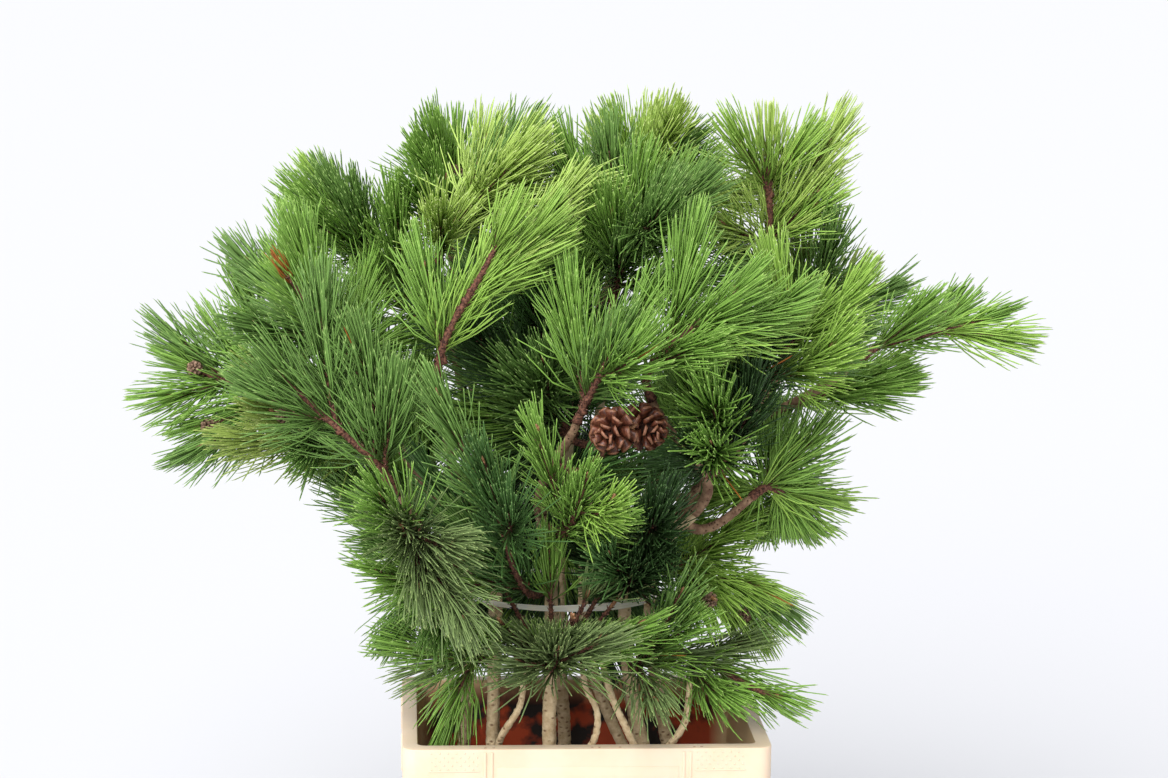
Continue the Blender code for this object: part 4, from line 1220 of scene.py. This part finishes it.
# twigs whose bark shows between parted needles: mass, number of the twig, and between which
# shares of its needled part
shownTwigs = {
    ("front_plume", 0): (0.0, 0.85), ("left_shoulder", 0): (0.0, 0.9), ("left_front", 0): (0.0, 0.8),
    ("left_rosette", 0): (0.0, 0.6), ("right_plume", 0): (0.0, 0.5), ("right_mid_upper", 0): (0.0, 0.85),
    ("right_arm", 0): (0.0, 0.8), ("upper_right", 0): (0.0, 0.85), ("upper_right", 1): (0.1, 0.8),
    ("center_front", 0): (0.0, 0.6), ("far_left", 0): (0.1, 0.8), ("crate_right", 0): (0.0, 0.85),
    ("right_mid", 0): (0.0, 0.7), ("center_upper", 0): (0.2, 0.8),
}


def unit(vectors):
    return vectors / np.maximum(np.linalg.norm(vectors, axis=1, keepdims=True), 1e-9)


def squareTo(along, vectors):
    # what is left of the vectors across the directions
    return vectors - along * np.sum(vectors * along, axis=1, keepdims=True)


def clearOfCrate(starts, ends):
    halfX, halfY = ruleSizes["rimSize"][0] / 2, ruleSizes["rimSize"][1] / 2
    room, wall = needleLooks["crateRoom"], needleLooks["crateWall"]
    clear = np.ones(len(starts), bool)
    for share in even(8):
        x, y, z = np.abs((starts + (ends - starts) * share)).T
        over = (x < halfX + room) & (y < halfY + room)
        inside = (x < halfX - wall) & (y < halfY - wall)
        clear &= ~((z < ruleSizes["crateHeight"] + room) & over & ~inside)
    return clear


def reachBefore(starts, ends, low, high, radius):
    # share of each needle that ends before it comes this near to the line between two points
    low, high = np.array(low), np.array(high)
    reach = np.ones(len(starts))
    for share in reversed(even(8)):
        point = starts + (ends - starts) * share
        t = np.clip((point - low) @ (high - low) / ((high - low) @ (high - low)), 0, 1)
        near = np.linalg.norm(point - low - t[:, None] * (high - low), axis=1) < radius
        reach[near] = share
    return reach


# young cones: mass, number of its twig, share along it, way out of it
youngCones = (
    ("far_left", 0, 0.93, (-0.2, -0.8, 0.3)),
    ("far_left", 1, 0.93, (-0.3, -0.8, -0.1)),
    ("left_low", 0, 0.93, (0.0, -0.9, 0.3)),
    ("top_left", 0, 0.75, (0.3, -0.9, 0.2)),
    ("right_hanging", 1, 0.9, (0.1, -0.9, -0.2)),
    ("right_hanging", 2, 0.9, (0.3, -0.9, -0.2)),
    ("back_left", 0, 0.8, (-0.3, 0.9, 0.3)),
    ("back_right", 0, 0.8, (0.3, 0.9, 0.3)),
)

# gaps between masses that show the sky: two ends and a radius; mm
skyGaps = (
    ((178, -50, 474), (245, -50, 474), 15), ((184, -50, 452), (212, -50, 440), 13),
    ((-246, -50, 460), (-216, -50, 446), 14), ((-180, -50, 912), (-186, -50, 880), 15),
    ((-236, -50, 875), (-212, -50, 873), 12), ((300, -50, 760), (338, -50, 746), 14),
    ((88, -50, 936), (108, -50, 919), 13), ((325, -50, 668), (362, -50, 671), 10),
)

openingLooks = {
    "cone": (0.0, 0.07, 0.021),        # rods free of needles before a cone: from, to, radius
    "young": (0.006, 0.06, 0.0085),
    "youngOut": 0.008,                 # from the middle of the twig to that of the young cone
    "bandAngles": (-142, -115, -90, -60, -40), "bandOut": 0.004, "bandRadius": 0.0105,
    "bandDepths": (6, 140, 12),        # from, to, step; mm before the band
    "skyDepths": (-150, 160, 30),      # the same, before the two ends of the gap
}
snappedTwig = ("left_shoulder", 0)                # its end is torn off, with dead needles round it
viewFrom = Vector((-0.18, -2.84, 1.12))           # where the picture is taken from
towardsCamera = Vector((-0.06, -0.95, 0.16)).normalized()

youngSpots = []
for mass, number, share, way in youngCones:
    for shoot in shoots:
        if (shoot["mass"], shoot["number"]) == (mass, number) and shoot["side"] < 2:
            axis = Vector(way).normalized()
            spot = pointOn(shoot["points"], share)[0] + axis * openingLooks["youngOut"]
            youngSpots.append((spot, axis))

openings = []          # places that stay free of needles: rods given by two ends and a radius
for kind, spots in (("cone", coneSpots), ("young", youngSpots)):
    first, last, radius = openingLooks[kind]
    for spot, axis in spots:
        if axis.y < 0:
            openings.append((spot + towardsCamera * first, spot + towardsCamera * last, radius))
bandFront = [bandPoint(angle, -openingLooks["bandOut"]) + up * ruleSizes["bandZ"]
             for angle in openingLooks["bandAngles"]]
for pair in zip(bandFront, bandFront[1:]):
    for out in range(*openingLooks["bandDepths"]):
        ends = [end + towardsCamera * out / 1000 for end in pair]
        openings.append((*ends, openingLooks["bandRadius"]))
for *pair, radius in skyGaps:
    for depth in range(*openingLooks["skyDepths"]):
        ends = [end + (viewFrom - end).normalized() * depth / 1000 for end in map(vectorOf, pair)]
        openings.append((*ends, metres(radius)))


def alongShoot(shoot, place):
    # middle, tangent, two directions across and radius of a shoot at distances from its start
    distances = np.array(shoot["distances"])
    columns = [np.stack([np.interp(place, distances, np.array(part)[:, k]) for k in range(3)], axis=1)
               for part in (shoot["points"], *shoot["frames"])]
    return *columns, np.interp(place, distances, taper(distances, shootLooks["radius"][shoot["side"]]))


def needleRows(shoot, spacing, rng):
    side, mass = shoot["side"], shoot["mass"]
    whole = shoot["distances"][-1]
    first = shootLooks["bare"][side] * whole
    count = max(4, int((whole - first) / spacing * densityOf.get(mass, 1.0)))
    age = (np.arange(count) + 0.5) / count               # 0 at the oldest needles, 1 at the tip
    axis, tangent, one, two, radius = alongShoot(shoot, mix(first, whole, age))
    turn = np.arange(count) * goldenAngle + rng.uniform(-0.3, 0.3, count)
    lean = np.radians(mix(*needleLooks["lean"], age**1.2) * leanOf.get(mass, 1.0)
                      + rng.normal(0, needleLooks["leanSpread"], count))
    sag = sagOf.get(mass, needleLooks["sag"])
    drift = rng.normal(0, needleLooks["drift"], 3)
    longer = rng.uniform(*needleLooks["shootLength"])
    shown = shownTwigs.get((mass, shoot["number"])) if side < 2 else None
    shorter = mix(1.0, needleLooks["tipShorter"], np.clip(age * 3 - 2, 0, 1))
    rows = []
    for hand in (-1, 1):
        swing = turn + hand * math.radians(needleLooks["pair"]) / np.maximum(np.sin(lean), 0.3)
        out = one * np.cos(swing)[:, None] + two * np.sin(swing)[:, None]
        tilt = lean + rng.normal(0, math.radians(needleLooks["tiltSpread"]), count)
        along = unit(tangent * np.cos(tilt)[:, None] + out * np.sin(tilt)[:, None] + drift)
        length = rng.uniform(*needleLooks["length"], count) * shorter * longer * lengthOf.get(mass, 1.0)
        curl = rng.uniform(*needleLooks["curl"], count)[:, None] * tangent
        curl = squareTo(along, curl + np.array((0, 0, -sag)))
        bend = np.linalg.norm(curl, axis=1)
        start = axis + out * (radius * 0.6)[:, None]
        width = needleLooks["width"] * rng.uniform(*needleLooks["widthSpread"], count)
        found = np.column_stack([start, along, curl / bend[:, None], length, width, bend * length, age])
        if shown:
            facing = out @ np.array(towardsCamera) > needleLooks["parted"]
            found = found[~(facing & (age > shown[0]) & (age < shown[1]))]
        rows.append(found)
    return np.concatenate(rows), np.column_stack([axis, along, out])


def trimmed(rows):
    # needles shortened at the CAD's reach, and dropped where something else has the room
    low = np.array(cadBox[0]) - needleLooks["room"]
    high = np.array(cadBox[1]) + needleLooks["room"]
    starts = rows[:, 0:3]
    reach = rows[:, 3:6] * rows[:, 9:10] + rows[:, 6:9] * rows[:, 11:12]
    with np.errstate(divide="ignore", invalid="ignore"):
        share = np.where(reach > 0, (high - starts) / reach, np.where(reach < 0, (low - starts) / reach, 9))
    share = np.clip(share.min(axis=1), 0, 1)
    for opening in openings:
        share = np.minimum(share, reachBefore(starts, starts + reach, *opening))
    rows = rows.copy()
    rows[:, 9] *= share
    rows[:, 11] *= share**2
    kept = (share > needleLooks["shortest"]) & clearOfCrate(starts, starts + reach * share[:, None])
    return rows[kept]


def makeNeedles():
    rng = np.random.default_rng(needleLooks["seed"])
    picks = {name: random.Random("foliage_" + name) for name in masses}
    length = sum(shoot["distances"][-1] * (1 - shootLooks["bare"][shoot["side"]]) for shoot in shoots)
    spacing = length / (needleLooks["count"] / 2)
    dealt = {name: [] for name in greens}
    sheaths = []
    for shoot in shoots:
        rows, feet = needleRows(shoot, spacing, rng)
        rows = trimmed(rows)
        main, other = masses[shoot["mass"]][5:7]
        pick = picks[shoot["mass"]]
        stray = pick.choice(("leaf", "mid"))
        green = main if shoot["side"] == 0 else pick.choice((main, main, other, stray))
        dead = rng.random(len(rows)) < needleLooks["dead"]
        if (shoot["mass"], shoot["number"]) == snappedTwig:
            dead |= rows[:, 12] > needleLooks["snappedFrom"]
            rows[dead, 9] *= needleLooks["snappedLength"]
        dealt[green].append(rows[~dead])
        dealt["dead"].append(rows[dead])
        sheaths.append(feet)
    shape = spindleShape("needle shape", 3, 0.36, ((0.48, 0.5), (0.94, 0.40)), 1)
    largest = needleLooks["mostTriangles"] // 16          # over the triangles of a needle
    for green, parts in dealt.items():
        if not parts:
            continue
        rows = np.concatenate(parts)
        nodes = ["foliage_" + name for name, mass in masses.items() if mass[5] == green]
        surfaces = [needleMaterial(f"{green}_needle", greens[green][0], 0.42),
                    needleMaterial(f"{green}_needle_tip", greens[green][1], 0.5)]
        pieces = math.ceil(len(rows) / largest)
        for part in range(pieces):
            name = f"needles_{green}_{part + 1}" if pieces > 1 else f"needles_{green}"
            mesh = copied(name, shape, rows[part::pieces])
            addPiece(name, mesh, surfaces, nodes if part == 0 else ())
    whole = sum(len(rows) for parts in dealt.values() for rows in parts)
    print("needles made:", whole, "at", round(spacing * 2000, 2), "mm a pair")
    return np.concatenate(sheaths)


sheathFeet = makeNeedles()


# Dry scales: the sheaths of needle pairs, and peeling flakes where the wood is bare

flakeLooks = {
    "sheath": (0.0045, 0.0024), "flake": (0.0042, 0.0022),      # length and width
    "every": 2,                       # one needle pair of so many has a sheath
    "sheathOut": 0.0015, "flakeIn": 0.0006,
    "spacing": 0.0009, "share": (0.5, 0.5, 0.3),                # flakes on a main, side, finer shoot
    "lean": (18, 48),
}


def makeFlakes():
    rng = np.random.default_rng(77)
    feet = sheathFeet[::flakeLooks["every"]]
    axis, along, out = feet[:, 0:3], feet[:, 3:6], feet[:, 6:9]
    length, width = (np.full(len(feet), value) for value in flakeLooks["sheath"])
    rows = [np.column_stack([axis + out * flakeLooks["sheathOut"], along, unit(squareTo(along, out)),
                             length, width, length * 0])]
    for shoot in shoots:
        whole = shoot["distances"][-1]
        count = int(whole / flakeLooks["spacing"] * flakeLooks["share"][shoot["side"]])
        axis, tangent, one, two, radius = alongShoot(shoot, np.linspace(0.004, whole, count))
        turn = np.arange(count) * goldenAngle + rng.uniform(-0.4, 0.4, count)
        out = one * np.cos(turn)[:, None] + two * np.sin(turn)[:, None]
        lean = np.radians(rng.uniform(*flakeLooks["lean"], count))[:, None]
        along = unit(tangent * np.cos(lean) + out * np.sin(lean))
        length = flakeLooks["flake"][0] * rng.uniform(0.6, 1.25, count)
        width = flakeLooks["flake"][1] * rng.uniform(0.7, 1.2, count)
        rows.append(np.column_stack([axis + out * (radius - flakeLooks["flakeIn"])[:, None], along,
                                     unit(squareTo(along, out)), length, width, length * 0.1]))
    mesh = copied("twig_scales", flakeShape(), np.concatenate(rows))
    addPiece("twig_scales", mesh, [scaleBark])
    print("scales made:", sum(len(part) for part in rows))


makeFlakes()


# Buds, young cones and open cones

budLooks = {
    "length": (0.009, 0.014), "width": 0.0048,
    "sideLength": 0.7, "sideWidth": 0.75,        # of the buds beside the one at the tip, over its own
    "spread": 26, "turn": 1.3,
}


def makeBuds():
    rng = random.Random(31)
    rows, torn = [], []
    for shoot in shoots:
        tip, tangent = shoot["points"][-1], shoot["frames"][0][-1]
        for i in range(1 if shoot["side"] == 2 else 3):
            along = tangent.copy()
            if i:
                spread = math.radians(budLooks["spread"])
                along.rotate(Matrix.Rotation(spread, 3, shoot["frames"][1][-1]))
                along.rotate(Matrix.Rotation(i * goldenAngle * budLooks["turn"], 3, tangent))
            length = rng.uniform(*budLooks["length"]) * (budLooks["sideLength"] if i else 1.0)
            width = budLooks["width"] * (budLooks["sideWidth"] if i else 1.0)
            snapped = (shoot["mass"], shoot["number"]) == snappedTwig
            (torn if snapped else rows).append((
                *(tip - tangent * 0.001), *along, *along.orthogonal().normalized(), length, width, 0.0))
    shape = spindleShape("bud shape", 6, 0.32, ((0.30, 0.5), (0.68, 0.36)))
    addPiece("buds", copied("buds", shape, rows), [budSkin])
    addPiece("torn_wood", copied("torn_wood", flakeShape(), torn), [freshWood])


coneLooks = {
    "scales": 40,                         # on an open cone
    "core": 0.30,                         # radius of the core over the cone's
    "coreSize": (0.008, 0.008, 0.018),
    "young": 34,                          # scales on a young cone
    "youngSize": (0.0072, 0.0092),
}


def coneRows(place, axis, size, count, openness):
    # scales round a core by the golden angle; they open more in the middle of the cone
    rows = []
    side = axis.orthogonal().normalized()
    for i in range(count):
        share = (i + 0.5) / count
        height = size[1] * (2 * share - 1)
        wide = size[0] * math.sqrt(max(0.0, 1 - (2 * share - 1)**2 * 0.96))
        out = side.copy()
        out.rotate(Matrix.Rotation(i * goldenAngle, 3, axis))
        lean = math.radians(mix(-18, 62, share) * openness + 10)
        along = (out * math.cos(lean) + axis * math.sin(lean)).normalized()
        foot = place + axis * (height - wide * 0.5 * math.sin(lean)) + out * wide * coneLooks["core"] * 0.4
        aside = (axis - along * axis.dot(along)).normalized()
        length = wide * mix(0.92, 0.85, share)
        rows.append((*foot, *along, *aside, max(length, size[0] * 0.35),
                     size[0] * mix(0.64, 0.46, abs(2 * share - 1)), -length * 0.12))
    return rows


def addCones(name, spots, size, count, openness, surfaces):
    rows = []
    for spot, axis in spots:
        rows += coneRows(spot, axis, size, count, openness)
    addPiece(name, copied(name, woodyScaleShape(), rows), surfaces)


def makeCones():
    addCones("open_cones", coneSpots, ruleSizes["coneSize"], coneLooks["scales"], 1.0,
             [coneWood, coneEnds])
    cores = bmesh.new()
    for spot, axis in coneSpots:
        verts = bmesh.ops.create_icosphere(cores, subdivisions=3, radius=1.0)["verts"]
        bmesh.ops.scale(cores, vec=coneLooks["coreSize"], verts=verts)
        turn = axis.to_track_quat("Z", "Y").to_matrix().to_4x4()
        bmesh.ops.transform(cores, matrix=Matrix.Translation(spot) @ turn, verts=verts)
    addPiece("cone_cores", meshFrom("cone_cores", cores), [coneHeart])
    skin = speckled("young_cone_scales", "#9A7C66", "#5E4638", 3.0, 0.7, 0.3)
    addCones("young_cones", youngSpots, coneLooks["youngSize"], coneLooks["young"], 0.4, [skin, skin])


makeBuds()
makeCones()
print("buds and cones made")


# Floor, camera and light

stageLooks = {
    "floor": "#DADADC",
    "world": "#F4F7FF",
    "worldStrength": 0.50,
    "sun": 4.5,
    "sunAngle": 60,
    "sunFrom": (-0.42, -0.82, 0.82),
}


def makeStage():
    bm = bmesh.new()
    bmesh.ops.create_grid(bm, x_segments=2, y_segments=2, size=90)
    floor = addObject("floor", meshFrom("floor", bm))
    paper = newMaterial("pale_paper", {
        "Base Color": toLinear(stageLooks["floor"]), "Roughness": 0.95, "Specular IOR Level": 0.1})[0]
    floor.data.materials.append(paper)

    world = bpy.data.worlds.new("studio")
    world.use_nodes = True
    sky = world.node_tree.nodes["Background"]
    sky.inputs["Color"].default_value = toLinear(stageLooks["world"])
    sky.inputs["Strength"].default_value = stageLooks["worldStrength"]
    bpy.context.scene.world = world
    sun = bpy.data.lights.new("soft_key", "SUN")
    sun.energy = stageLooks["sun"]
    sun.angle = math.radians(stageLooks["sunAngle"])
    key = addObject("soft_key", sun)
    key.rotation_euler = Vector(stageLooks["sunFrom"]).to_track_quat("Z", "Y").to_euler()
    bpy.context.scene.view_settings.view_transform = "Standard"


cameraLooks = {"target": (0, 0, 0.629), "roll": 0.012, "lens": 90}


def makeCamera():
    data = bpy.data.cameras.new("camera")
    data.lens = cameraLooks["lens"]
    data.sensor_width = 36
    data.clip_end = 200
    camera = addObject("camera", data)
    forward = (Vector(cameraLooks["target"]) - viewFrom).normalized()
    right = forward.cross(up).normalized()
    roll = cameraLooks["roll"]
    tilted = right * math.cos(roll) + right.cross(forward) * math.sin(roll)
    turn = Matrix((tilted, tilted.cross(forward), -forward)).transposed().to_4x4()
    camera.matrix_world = Matrix.Translation(viewFrom) @ turn
    bpy.context.scene.camera = camera


makeStage()
makeCamera()
print("stage set")
